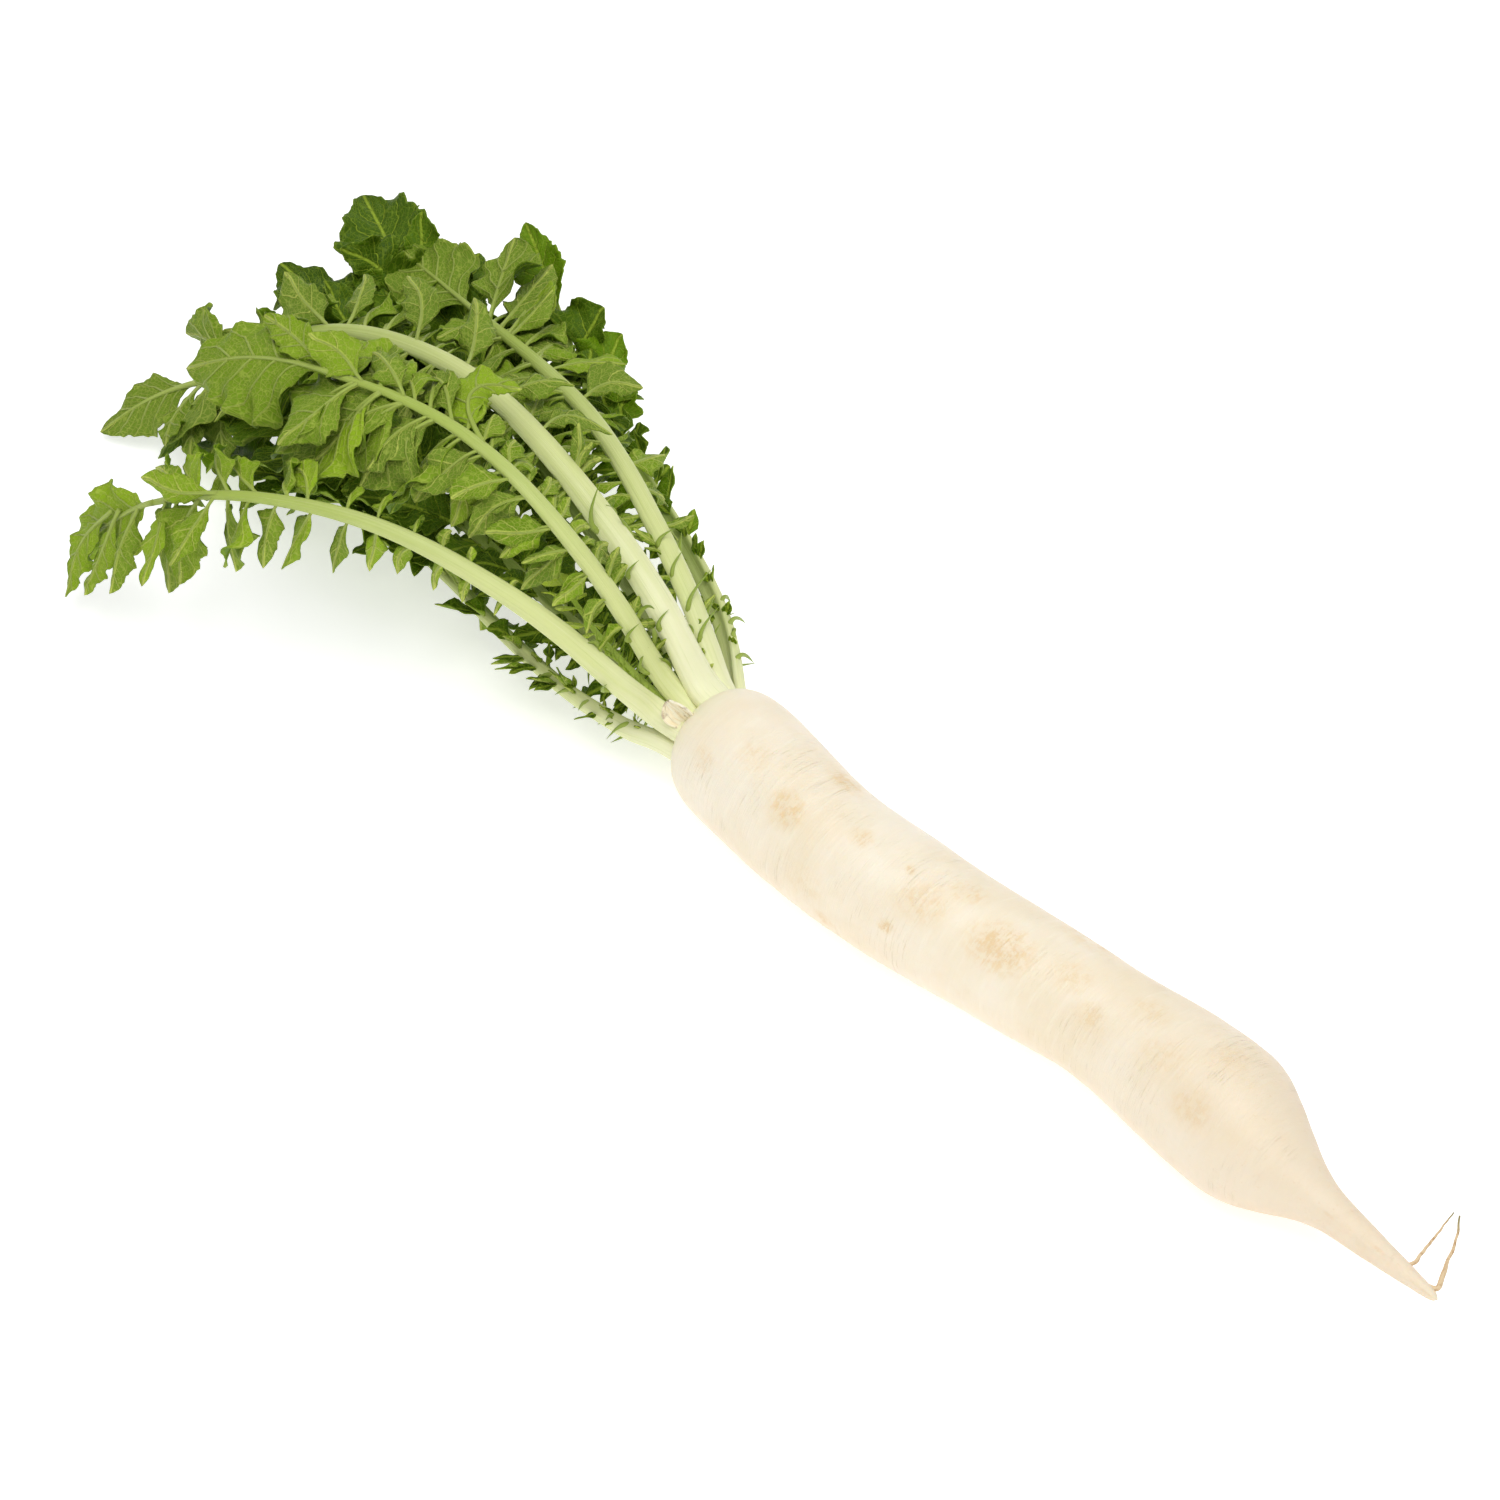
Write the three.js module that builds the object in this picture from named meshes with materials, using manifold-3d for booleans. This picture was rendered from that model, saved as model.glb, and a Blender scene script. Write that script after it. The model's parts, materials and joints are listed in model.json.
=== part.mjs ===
// A daikon radish with its leaves, lying on its side. Millimetres, +Z up.
//
// X runs along the root, from the crown (-X) to the tail (+X), and the leaves reach on to -X.
// The origin is the middle of the flat spot under the shoulder, on which the radish lies.
// The root is one solid with its rootlets. Each frond is one solid: a grooved stalk that
// becomes the rib, toothed leaflets in loose pairs, and one large leaf at the end.

import * as THREE from 'three';
import Module from 'manifold-3d';
import { mergeGeometries, mergeVertices } from 'three/addons/utils/BufferGeometryUtils.js';

const wasm = await Module();
wasm.setup();

const DEGREE = Math.PI / 180;
const UP = new THREE.Vector3(0, 0, 1);
const DOWN = new THREE.Vector3(0, 0, -1);

// ---------------------------------------------------------------- sizes of the root

// Where the root's side passes, as [X, radius].
const ROOT_SIDE = [
  [-39, 20.5], [-33, 26.3], [-22, 29.8], [-4, 30.5], [40, 29.2], [85, 28.7], [130, 27.2],
  [172, 25.9], [195, 25.3], [216, 26.6], [240, 28.9], [256, 29.6], [270, 28.8], [283, 24.8],
  [295, 19.3], [309, 12.6], [322, 8.7], [345, 5.9], [366, 3.4], [376, 1.8],
];
const ROOT_TIP = 378;
// The line that the root's middle follows, as [X, Y, height].
const ROOT_LINE = [
  [-60, 2.5, 30.2], [-6, 0.1, 29.9], [45, -4.6, 29.7], [95, -1.4, 29.3], [145, 5.4, 29.1],
  [200, 12.4, 29], [258, 13, 29], [290, 8.6, 28.5], [330, 8.2, 27.4], [390, 7.6, 25.6],
];
const ROOT_SIDES = 26;
const ROOT_RINGS = 30;
// The root is a little wider one way than the other, and that way turns along it.
const OUT_OF_ROUND = 0.012;
const OUT_OF_ROUND_TURN = 60;
const CROWN_FACE = -39;
const NODE_GAP = 0.35;
// A cutting box reaches this far past what it cuts.
const ROOM = 100;
// Corners nearer than this are one corner.
const MERGE_WITHIN = 1e-3;

// Rootlets at the tail: the points of each, and its radius at the start and at the end.
const ROOTLET_SIDES = 5;
const ROOTLET_STEPS = 7;
const ROOTLETS = [
  { from: 1.6, to: 0.6,
    points: [[362, 8, 26.5], [374, 11, 26], [371, 19, 27], [366, 31, 30], [360, 39, 35]] },
  { from: 1, to: 0.4,
    points: [[354, 8, 27], [360, 12, 27.5], [360, 20, 30], [358, 38, 36]] },
];

// A dried leaf base that is left standing on the crown's rim.
const HUSK = {
  foot: [-39.6, -9, 46], lead: [-0.5, -0.45, 0.74], face: [0.3, -0.9, 0.3], curl: 0.3,
  length: 15, half: 7, teeth: 2,
};

// ---------------------------------------------------------------- sizes of the fronds

const CROWN_MIDDLE = [3, 30];
const STALK_FOOT = -32;
const STALK_SIDES = 8;
const STALK_STEP = 24;
const STALK_STEPS_LEAST = 8;
// How deep a stalk is, as a share of its width, at its foot and from WIDTH_AT's second place on.
const FOOT_DEPTH = 0.55;
const STALK_DEPTH = 0.84;
const GROOVE_DEPTH = 0.7;
// Where the four widths of a frond's stalk are given, as shares of its length.
const WIDTH_AT = [0, 0.12, 0.45, 1];

const RIB_THICKNESS = 1.3;
const END_LEAF_SINK = 2;
// Where a leaflet's foot lies inside its rib, as shares of the half width to the side and the face.
const BLADE_ROOT = [0.35, 0.05];
// A blade opens from a narrow stalk, and its teeth point towards its end.
const NARROW = 0.14;
const OPENS_AT = 0.1;
const OPENS_OVER = 0.38;
const TIP_FULLNESS = 3.4;
const TIP_BLUNTNESS = 0.7;
const TEETH_START = 0.16;
const TOOTH_DEPTH = 0.22;
const TOOTH_PEAK = 0.7;
const TOOTH_PITCH = 14;
// A blade's halves rise from its rib as a shallow cup, and waves run along its edges.
const CUP = 0.22;
const RUFFLE = 0.2;
const RUFFLE_WAVES = 1.6;

// How leaflets sit on a rib. Lengths are shares of the frond's largest leaflet, half widths
// are shares of the leaflet's own length, and angles are in degrees. What ends in Spread is
// how far a leaflet may differ from its neighbours either way.
const HABIT = {
  lastPlace: 0.96, placeSpread: 0.22,
  firstLength: 0.17, lengthSpread: 0.14,
  firstHalf: 0.14, lastHalf: 0.33, halfSpread: 0.03,
  firstSlant: 68, lastSlant: 44, slantSpread: 9,
  lift: 18, liftSpread: 16,
  roll: 14, rollSpread: 24,
  twistSpread: 50, endTwistSpread: 25,
  droopSpread: 0.3, endDroop: 0.8,
  sway: -0.1, swaySpread: 0.45,
};
const FEWEST_TEETH = 1;
const MOST_TEETH = 4;

// Blades of different fronds keep this far apart, measured between points on both.
const CLEARANCE = 3.3;
const SAMPLE_STEP = 3.2;
const FLOOR_CLEARANCE = 0.9;
// A blade that meets another frond tries these in turn, as [added droop, added lift, size].
const BENDS = [
  [0, 0, 1], [0.25, 0, 1], [-0.25, 0, 1], [0, 0.3, 1], [0, -0.3, 1], [0.5, 0.2, 1], [-0.5, -0.2, 1],
  [0.5, -0.4, 1], [-0.5, 0.4, 1], [0, 0.6, 0.9], [0, -0.6, 0.9], [0.8, 0, 0.85], [-0.8, 0, 0.85],
  [0, 0.9, 0.75], [0, -0.9, 0.75], [0.3, 0.2, 0.6], [-0.3, -0.2, 0.6], [0, 0, 0.45],
];

// Each frond, from the most open to the most hidden one:
// angle and out  where it leaves the crown, in degrees from the top towards +Y, and how far out
// turn           how it is turned about its rib at the foot and the end, 0 with its face up
// width          of its stalk at the four places of WIDTH_AT
// route          the points that its rib passes
// pairs, first   its pairs of leaflets, and where along the rib they start
// leaflet, droop the length of its largest leaflets, and how far they hang
// end            the length and the half width of the leaf at its end
const FRONDS = [
  { name: 'frond_top', seed: 11, colour: 0x86a05a,
    angle: 17, out: 15, turn: [205, 150], width: [15.4, 15.6, 10.8, 3.6],
    route: [[-50, 8, 48], [-76, 9, 73], [-103, 10, 91], [-148, 13, 108], [-192, 15, 116], [-230, 13, 116],
      [-274, 8, 106], [-315, 2, 85], [-348, -7, 58], [-371, -23, 33]],
    pairs: 15, first: 0.26, leaflet: 55, droop: 0.8, end: [58, 22] },
  { name: 'frond_near', seed: 23, colour: 0x7d9850,
    angle: -54, out: 15, turn: [130, 122], width: [13, 13, 9.6, 3.2],
    route: [[-54, -14, 42], [-66, -24, 57], [-89, -37, 79], [-113, -51, 97], [-148, -67, 110],
      [-180, -82, 114], [-216, -98, 109], [-250, -110, 95], [-276, -116, 77]],
    pairs: 12, first: 0.34, leaflet: 42, droop: 0.9, end: [70, 28] },
  { name: 'frond_high', seed: 37, colour: 0x8aa75c,
    angle: -12, out: 6, turn: [170, 152], width: [12, 11, 8.4, 3],
    route: [[-60, -4, 51], [-80, -11, 83], [-99, -18, 109], [-129, -25, 133], [-162, -31, 144],
      [-194, -40, 148], [-229, -49, 144]],
    pairs: 13, first: 0.24, leaflet: 54, droop: 0.8, end: [84, 33] },
  { name: 'frond_far', seed: 41, colour: 0x6f8f48,
    angle: 80, out: 15, turn: [250, 150], width: [12.5, 12.4, 9.4, 3.4],
    route: [[-50, 19, 40], [-79, 28, 62], [-109, 37, 76], [-149, 50, 84], [-185, 60, 86], [-219, 67, 83],
      [-258, 76, 74], [-299, 86, 62]],
    pairs: 13, first: 0.22, leaflet: 56, droop: 0.7, end: [74, 28] },
  { name: 'frond_side', seed: 62, colour: 0x67963c,
    angle: 116, out: 15, turn: [295, 340], width: [12, 10.2, 8, 3],
    route: [[-52, 29.5, 28], [-77, 47.5, 28], [-104, 62, 29], [-138, 75.5, 30], [-177, 89, 30],
      [-222, 103, 31], [-253, 111, 40], [-275, 119, 55]],
    pairs: 12, first: 0.16, leaflet: 34, droop: 0.3, end: [56, 22] },
  { name: 'frond_low', seed: 67, colour: 0x6a963f,
    angle: -108, out: 15, turn: [72, 15], width: [12.5, 10.8, 8.2, 3],
    route: [[-52, -14, 26], [-73, -19, 25], [-109, -22, 25], [-154, -20, 26], [-192, -17, 28],
      [-232, -17, 30], [-274, -22, 28], [-306, -28, 24]],
    pairs: 11, first: 0.22, leaflet: 42, droop: 0.3, end: [60, 22] },
  { name: 'frond_young', seed: 71, colour: 0x8fbb45,
    angle: -90, out: 7, turn: [190, 200], width: [5.2, 4.8, 3.6, 2],
    route: [[-64, -7, 42], [-83, -9, 49], [-99, -8, 52], [-116, -4, 53], [-132, 0, 54]],
    pairs: 8, first: 0.3, leaflet: 16, droop: 0.3, end: [22, 8] },
  { name: 'frond_under', seed: 83, colour: 0x527f35,
    angle: 158, out: 15, turn: [336, 340], width: [12, 9.8, 7.6, 3],
    route: [[-60, 21, 20], [-107, 37, 15], [-165, 54, 15], [-225, 68, 19], [-284, 79, 25], [-337, 85, 34],
      [-356, 90, 43]],
    pairs: 12, first: 0.32, leaflet: 54, droop: 0.2, end: [68, 29] },
  { name: 'frond_back', seed: 89, colour: 0x4d7a33,
    angle: -158, out: 14, turn: [18, 5], width: [10.5, 9, 7, 3],
    route: [[-74, 4, 15], [-122, 14, 13], [-183, 29, 16], [-240, 42, 24], [-290, 48, 33], [-330, 49, 40]],
    pairs: 11, first: 0.34, leaflet: 52, droop: 0.2, end: [76, 30] },
  { name: 'frond_inner', seed: 97, colour: 0x588a38,
    angle: 180, out: 6, turn: [10, -20], width: [9, 8.8, 6.8, 3],
    route: [[-74, 1, 27], [-122, 0, 34], [-183, 0, 42], [-240, -3, 47], [-290, -12, 46]],
    pairs: 12, first: 0.3, leaflet: 50, droop: 0.4, end: [66, 25] },
];

// ---------------------------------------------------------------- solids

// The same steps on any machine: a number from 0 to 1 at each call.
function drawFrom(seed) {
  let state = seed;
  return () => {
    state = (state * 1664525 + 1013904223) % 4294967296;
    return state / 4294967296;
  };
}

function vectors(points) {
  return points.map((point) => new THREE.Vector3(...point));
}

// Reads a list of [place, value, value...] at a place, along a smooth line through its rows.
function readAt(list, place) {
  const last = list.length - 2;
  const row = Math.min(last, Math.max(0, list.findIndex((item) => item[0] >= place) - 1));
  const [from, to] = [list[row], list[row + 1]];
  const [before, after] = [list[Math.max(0, row - 1)], list[Math.min(last + 1, row + 2)]];
  const span = to[0] - from[0];
  const t = Math.min(1, Math.max(0, (place - from[0]) / span));
  return from.slice(1).map((value, i) => {
    const next = to[i + 1];
    const leave = (next - before[i + 1]) / (to[0] - before[0]) * span;
    const arrive = (after[i + 1] - value) / (after[0] - from[0]) * span;
    return value * (2 * t ** 3 - 3 * t ** 2 + 1) + leave * (t ** 3 - 2 * t ** 2 + t)
      + next * (3 * t ** 2 - 2 * t ** 3) + arrive * (t ** 3 - t ** 2);
  });
}

// A closed geometry with its corners merged and its flattened triangles dropped.
function closed(geometry) {
  const bare = new THREE.BufferGeometry();
  bare.setAttribute('position', geometry.getAttribute('position'));
  bare.setIndex(geometry.getIndex());
  const merged = mergeVertices(bare, MERGE_WITHIN);
  const corners = merged.getIndex().array;
  const kept = [];
  for (let i = 0; i < corners.length; i += 3) {
    const [a, b, c] = [corners[i], corners[i + 1], corners[i + 2]];
    if (a !== b && b !== c && c !== a) kept.push(a, b, c);
  }
  merged.setIndex(kept);
  return merged;
}

function solidOf(geometry) {
  const body = closed(geometry);
  const vertProperties = new Float32Array(body.getAttribute('position').array);
  const triVerts = new Uint32Array(body.getIndex().array);
  return new wasm.Manifold(new wasm.Mesh({ numProp: 3, vertProperties, triVerts }));
}

function geometryOf(solid) {
  const mesh = solid.getMesh();
  const geometry = new THREE.BufferGeometry();
  geometry.setAttribute('position', new THREE.BufferAttribute(mesh.vertProperties, 3));
  geometry.setIndex(new THREE.BufferAttribute(mesh.triVerts, 1));
  const body = closed(geometry);
  body.computeVertexNormals();
  return body;
}

function boxSolid(low, high) {
  const geometry = new THREE.BoxGeometry(high[0] - low[0], high[1] - low[1], high[2] - low[2]);
  geometry.translate((low[0] + high[0]) / 2, (low[1] + high[1]) / 2, (low[2] + high[2]) / 2);
  return solidOf(geometry);
}

// Moves each vertex of a geometry to where place(x, y, z) puts it.
function reshape(geometry, place) {
  const position = geometry.getAttribute('position');
  for (let i = 0; i < position.count; i += 1) {
    position.setXYZ(i, ...place(position.getX(i), position.getY(i), position.getZ(i)).toArray());
  }
  return geometry;
}

// ---------------------------------------------------------------- routes and stalks

// A smooth route with its direction and its upper face, which turns about it along the way.
function makeRoute(points, turn) {
  const curve = new THREE.CatmullRomCurve3(vectors(points), false, 'catmullrom', 0.5);
  const length = curve.getLength();
  function at(share) {
    const point = curve.getPointAt(share);
    const along = curve.getTangentAt(share);
    const up = UP.clone().addScaledVector(along, -UP.dot(along)).normalize();
    const level = new THREE.Vector3().crossVectors(along, up);
    const angle = (turn[0] + (turn[1] - turn[0]) * share) * DEGREE;
    const face = up.multiplyScalar(Math.cos(angle)).addScaledVector(level, Math.sin(angle));
    const side = new THREE.Vector3().crossVectors(along, face);
    return { point, along, face, side };
  }
  return { length, at };
}

// A tube along a route: round(angle, share) gives how far it reaches to the side and the face.
function tubeSolid(route, sides, steps, round) {
  const tube = new THREE.CylinderGeometry(1, 1, 1, sides, steps);
  reshape(tube, (x, y, z) => {
    const share = y + 0.5;
    const { point, face, side } = route.at(share);
    const [toSide, toFace] = Math.hypot(x, z) < 0.5 ? [0, 0] : round(Math.atan2(x, z), share);
    return point.addScaledVector(side, toSide).addScaledVector(face, toFace);
  });
  return solidOf(tube);
}

function stalkRound(frond, angle, share) {
  const half = halfWidthAt(frond, share);
  const rounding = Math.min(1, share / WIDTH_AT[1]);
  const depth = FOOT_DEPTH + (STALK_DEPTH - FOOT_DEPTH) * rounding;
  const groove = GROOVE_DEPTH * Math.max(0, Math.cos(angle)) ** 4;
  return [half * Math.sin(angle), half * depth * (Math.cos(angle) - groove)];
}

function halfWidthAt(frond, share) {
  return readAt(WIDTH_AT.map((place, i) => [place, frond.width[i]]), share)[0] / 2;
}

// ---------------------------------------------------------------- blades

// Half the width of a blade at a share of its length, as a share of its greatest half width.
function outline(share) {
  const open = Math.min(1, Math.max(0, (share - OPENS_AT) / OPENS_OVER));
  const spread = NARROW + (1 - NARROW) * open * open * (3 - 2 * open);
  return spread * (1 - share ** TIP_FULLNESS) ** TIP_BLUNTNESS;
}

// The teeth of the edge: 1 at a tooth's point, less between the teeth.
function toothAt(share, teeth) {
  if (share <= TEETH_START) return 1 - TOOTH_DEPTH;
  const phase = ((share - TEETH_START) / (1 - TEETH_START)) * teeth % 1;
  const rise = phase < TOOTH_PEAK ? phase / TOOTH_PEAK : (1 - phase) / (1 - TOOTH_PEAK);
  return 1 - TOOTH_DEPTH * (1 - rise);
}

// A point of a blade: share along its rib, across from -1 to 1, and off its face.
function bladePoint(blade, share, across, off) {
  const { foot, lead, bend, face, twist, length, half, teeth, phase } = blade;
  const along = lead.clone().addScaledVector(bend, share).normalize();
  const normal = face.clone().addScaledVector(along, -face.dot(along)).normalize();
  const side = new THREE.Vector3().crossVectors(along, normal);
  const lean = twist * share;
  const outward = side.clone().multiplyScalar(Math.cos(lean)).addScaledVector(normal, Math.sin(lean));
  const raised = normal.multiplyScalar(Math.cos(lean)).addScaledVector(side, -Math.sin(lean));
  const reach = half * outline(share) * toothAt(share, teeth);
  const wave = RUFFLE * Math.sin(2 * Math.PI * RUFFLE_WAVES * share + phase * Math.sign(across));
  return foot.clone()
    .addScaledVector(lead, length * share)
    .addScaledVector(bend, length * share * share / 2)
    .addScaledVector(outward, reach * across)
    .addScaledVector(raised, reach * (CUP + wave) * across * across + off);
}

// Where the rows of a blade stand: at its foot, at each tooth's point and between the teeth.
function bladeRows(teeth) {
  const rows = [0];
  for (let i = 0; i < teeth; i += 1) {
    rows.push(TEETH_START + (1 - TEETH_START) * (i + TOOTH_PEAK) / teeth);
    rows.push(TEETH_START + (1 - TEETH_START) * (i + 1) / teeth);
  }
  return rows;
}

// Two faces that share their rim and stand apart along the rib.
function bladeSolid(blade) {
  const rows = bladeRows(blade.teeth);
  const faces = [1, -1].map((side) => {
    const sheet = new THREE.PlaneGeometry(2, rows.length - 1, 2, rows.length - 1);
    reshape(sheet, (x, y) => {
      const row = Math.round(y + (rows.length - 1) / 2);
      const inside = row > 0 && row < rows.length - 1 && Math.abs(x) < 0.5;
      return bladePoint(blade, rows[row], x, inside ? side * RIB_THICKNESS / 2 : 0);
    });
    const bare = new THREE.BufferGeometry();
    bare.setAttribute('position', sheet.getAttribute('position'));
    const corners = Array.from(sheet.getIndex().array);
    bare.setIndex(side > 0 ? corners : corners.reverse());
    return bare;
  });
  return solidOf(mergeGeometries(faces));
}

// Points spread over a blade, to measure how near it comes to other fronds.
function bladeSamples(blade) {
  const rows = Math.ceil(blade.length / SAMPLE_STEP);
  const columns = Math.ceil(2 * blade.half / SAMPLE_STEP);
  const points = [];
  for (let i = 2; i <= rows; i += 1) {
    for (let j = 0; j <= columns; j += 1) {
      points.push(bladePoint(blade, i / rows, 2 * j / columns - 1, 0));
    }
  }
  return points;
}

// The blades of a frond as they would grow, before they are bent clear of their neighbours.
function growBlades(frond, route) {
  const draw = drawFrom(frond.seed);
  const spread = (size) => (draw() * 2 - 1) * size;
  const between = (first, last, rank) => first + (last - first) * rank;
  const blades = [];
  for (let pair = 0; pair < frond.pairs; pair += 1) {
    for (const hand of [1, -1]) {
      const rank = (pair + 0.5) / frond.pairs;
      const shuffled = rank + spread(HABIT.placeSpread) / frond.pairs;
      const place = between(frond.first, HABIT.lastPlace, shuffled);
      const length = frond.leaflet * between(HABIT.firstLength, 1, rank) * (1 + spread(HABIT.lengthSpread));
      const half = length * (between(HABIT.firstHalf, HABIT.lastHalf, rank) + spread(HABIT.halfSpread));
      const slant = (between(HABIT.firstSlant, HABIT.lastSlant, rank) + spread(HABIT.slantSpread)) * DEGREE;
      const lift = (HABIT.lift + spread(HABIT.liftSpread)) * DEGREE;
      const roll = (HABIT.roll + spread(HABIT.rollSpread)) * DEGREE * hand;
      const twist = spread(HABIT.twistSpread) * DEGREE;
      const droop = frond.droop * (1 + spread(HABIT.droopSpread));
      const sway = HABIT.sway + spread(HABIT.swaySpread);
      const phase = draw() * 2 * Math.PI;
      const station = route.at(place);
      const [toSide, toFace] = BLADE_ROOT.map((share) => share * halfWidthAt(frond, place));
      const foot = station.point.clone()
        .addScaledVector(station.side, hand * toSide)
        .addScaledVector(station.face, toFace);
      blades.push({ station, hand, foot, length, half, slant, lift, roll, twist, droop, sway, phase });
    }
  }
  const station = route.at(1);
  const foot = station.point.clone().addScaledVector(station.along, -END_LEAF_SINK);
  const [length, half] = frond.end;
  const twist = spread(HABIT.endTwistSpread) * DEGREE;
  const droop = frond.droop * HABIT.endDroop;
  const phase = draw() * 2 * Math.PI;
  const straight = { hand: 0, slant: 0, lift: 0, roll: 0, sway: 0 };
  blades.push({ ...straight, station, foot, length, half, twist, droop, phase });
  return blades;
}

// A blade bent by one of BENDS: its lead leaves the rib, and gravity and its sway bend it on.
function bendBlade(blade, [moreDroop, moreLift, size]) {
  const { station, hand, foot, slant, roll, twist, phase } = blade;
  const lift = blade.lift + moreLift;
  const outward = station.side.clone().multiplyScalar(hand * Math.cos(lift))
    .addScaledVector(station.face, Math.abs(hand) * Math.sin(lift));
  const lead = station.along.clone().multiplyScalar(Math.cos(slant))
    .addScaledVector(outward, Math.sin(slant))
    .addScaledVector(station.face, hand === 0 ? moreLift : 0)
    .normalize();
  const bend = DOWN.clone().multiplyScalar(Math.max(0, blade.droop + moreDroop))
    .addScaledVector(station.along, blade.sway);
  const face = station.face.clone().multiplyScalar(Math.cos(roll))
    .addScaledVector(station.along, -Math.sin(roll) * hand);
  const length = blade.length * size;
  const sideTeeth = Math.max(FEWEST_TEETH, Math.min(MOST_TEETH, Math.round(length / TOOTH_PITCH)));
  const teeth = sideTeeth + (hand === 0 ? 1 : 0);
  return { foot, lead, bend, face, twist, length, half: blade.half * size, teeth, phase };
}

// ---------------------------------------------------------------- room between fronds

// Points kept in cells as wide as the clearance, so that only near ones are compared.
function makeCrowd() {
  const cells = new Map();
  const cellOf = (value) => Math.floor(value / CLEARANCE);
  const key = (x, y, z) => `${x},${y},${z}`;
  function add(points) {
    for (const point of points) {
      const name = key(cellOf(point.x), cellOf(point.y), cellOf(point.z));
      if (!cells.has(name)) cells.set(name, []);
      cells.get(name).push(point);
    }
  }
  function touches(point) {
    const [x, y, z] = [cellOf(point.x), cellOf(point.y), cellOf(point.z)];
    for (let i = -1; i <= 1; i += 1) {
      for (let j = -1; j <= 1; j += 1) {
        for (let k = -1; k <= 1; k += 1) {
          const near = cells.get(key(x + i, y + j, z + k)) ?? [];
          if (near.some((other) => other.distanceTo(point) < CLEARANCE)) return true;
        }
      }
    }
    return false;
  }
  return { add, touches };
}

function stalkSamples(frond, route) {
  const steps = Math.ceil(route.length / SAMPLE_STEP);
  const points = [];
  for (let i = 0; i <= steps; i += 1) {
    const { point, face, side } = route.at(i / steps);
    for (let j = 0; j < STALK_SIDES; j += 1) {
      const [toSide, toFace] = stalkRound(frond, j * 2 * Math.PI / STALK_SIDES, i / steps);
      points.push(point.clone().addScaledVector(side, toSide).addScaledVector(face, toFace));
    }
  }
  return points;
}

// ---------------------------------------------------------------- the pieces

function rootSolid() {
  const side = new THREE.SplineCurve(ROOT_SIDE.map(([x, radius]) => new THREE.Vector2(radius, x)));
  const crown = new THREE.Vector2(0, CROWN_FACE);
  const tip = new THREE.Vector2(0, ROOT_TIP);
  const profile = [crown, ...side.getPoints(ROOT_RINGS), tip];
  const lathe = new THREE.LatheGeometry(profile, ROOT_SIDES);
  reshape(lathe, (x, y, z) => {
    const [middle, height] = readAt(ROOT_LINE, y);
    const round = 1 - OUT_OF_ROUND * Math.cos(2 * Math.atan2(z, x) + y / OUT_OF_ROUND_TURN);
    return new THREE.Vector3(y, middle - x * round, height + z * round);
  });
  let root = solidOf(lathe);
  for (const { points, from, to } of ROOTLETS) {
    const route = makeRoute(points, [0, 0]);
    const rootlet = tubeSolid(route, ROOTLET_SIDES, ROOTLET_STEPS, (angle, share) => {
      const radius = from + (to - from) * share;
      return [radius * Math.sin(angle), radius * Math.cos(angle)];
    });
    root = root.add(rootlet);
  }
  const [start, end] = [CROWN_FACE - ROOM, ROOT_TIP + ROOM];
  return root.subtract(boxSolid([start, -ROOM, -ROOM], [end, ROOM, 0]));
}

function huskSolid() {
  const [foot, lead, face] = vectors([HUSK.foot, HUSK.lead, HUSK.face]);
  const bend = lead.clone().multiplyScalar(-HUSK.curl);
  const { length, half, teeth } = HUSK;
  return bladeSolid({ foot, lead, bend, face, twist: 0, length, half, teeth, phase: 0 });
}

// Places some of a frond's blades, each by the first bend that keeps it clear of the rest.
function placeBlades(own, others, blades) {
  const crowd = makeCrowd();
  for (const other of others) {
    crowd.add(other.stalk);
    crowd.add(other.samples);
  }
  for (const blade of blades) {
    for (const bend of BENDS) {
      const bent = bendBlade(blade, bend);
      const samples = bladeSamples(bent);
      if (samples.some((point) => point.z < FLOOR_CLEARANCE || crowd.touches(point))) continue;
      own.placed.push(bent);
      own.samples.push(...samples);
      break;
    }
  }
}

// The large end leaves find their places before any of the leaflets do.
function growFronds() {
  const fronds = FRONDS.map((frond) => {
    const angle = frond.angle * DEGREE;
    const [middle, height] = CROWN_MIDDLE;
    const foot = [STALK_FOOT, middle + frond.out * Math.sin(angle), height + frond.out * Math.cos(angle)];
    const route = makeRoute([foot, ...frond.route], frond.turn);
    const blades = growBlades(frond, route);
    return { frond, route, blades, stalk: stalkSamples(frond, route), placed: [], samples: [] };
  });
  const others = (own) => fronds.filter((item) => item !== own);
  for (const own of fronds) placeBlades(own, others(own), own.blades.slice(-1));
  for (const own of fronds) placeBlades(own, others(own), own.blades.slice(0, -1));
  return fronds;
}

function frondSolid({ frond, route, placed }) {
  const steps = Math.max(STALK_STEPS_LEAST, Math.ceil(route.length / STALK_STEP));
  let solid = tubeSolid(route, STALK_SIDES, steps, (angle, share) => stalkRound(frond, angle, share));
  for (const blade of placed) solid = solid.add(bladeSolid(blade));
  return solid.subtract(boxSolid([CROWN_FACE - NODE_GAP, -ROOM, -ROOM], [ROOM, ROOM, ROOM]));
}

// ---------------------------------------------------------------- the radish

function named(name, solid, colour, roughness) {
  const material = new THREE.MeshStandardMaterial({ color: colour, roughness, metalness: 0 });
  const mesh = new THREE.Mesh(geometryOf(solid), material);
  mesh.name = name;
  return mesh;
}

const radish = new THREE.Group();
radish.add(named('root', rootSolid(), 0xf1e6d2, 0.5));
radish.add(named('crown_husk', huskSolid(), 0xc9b98a, 0.85));
for (const grown of growFronds()) {
  radish.add(named(grown.frond.name, frondSolid(grown), grown.frond.colour, 0.6));
}

export default radish;
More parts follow.
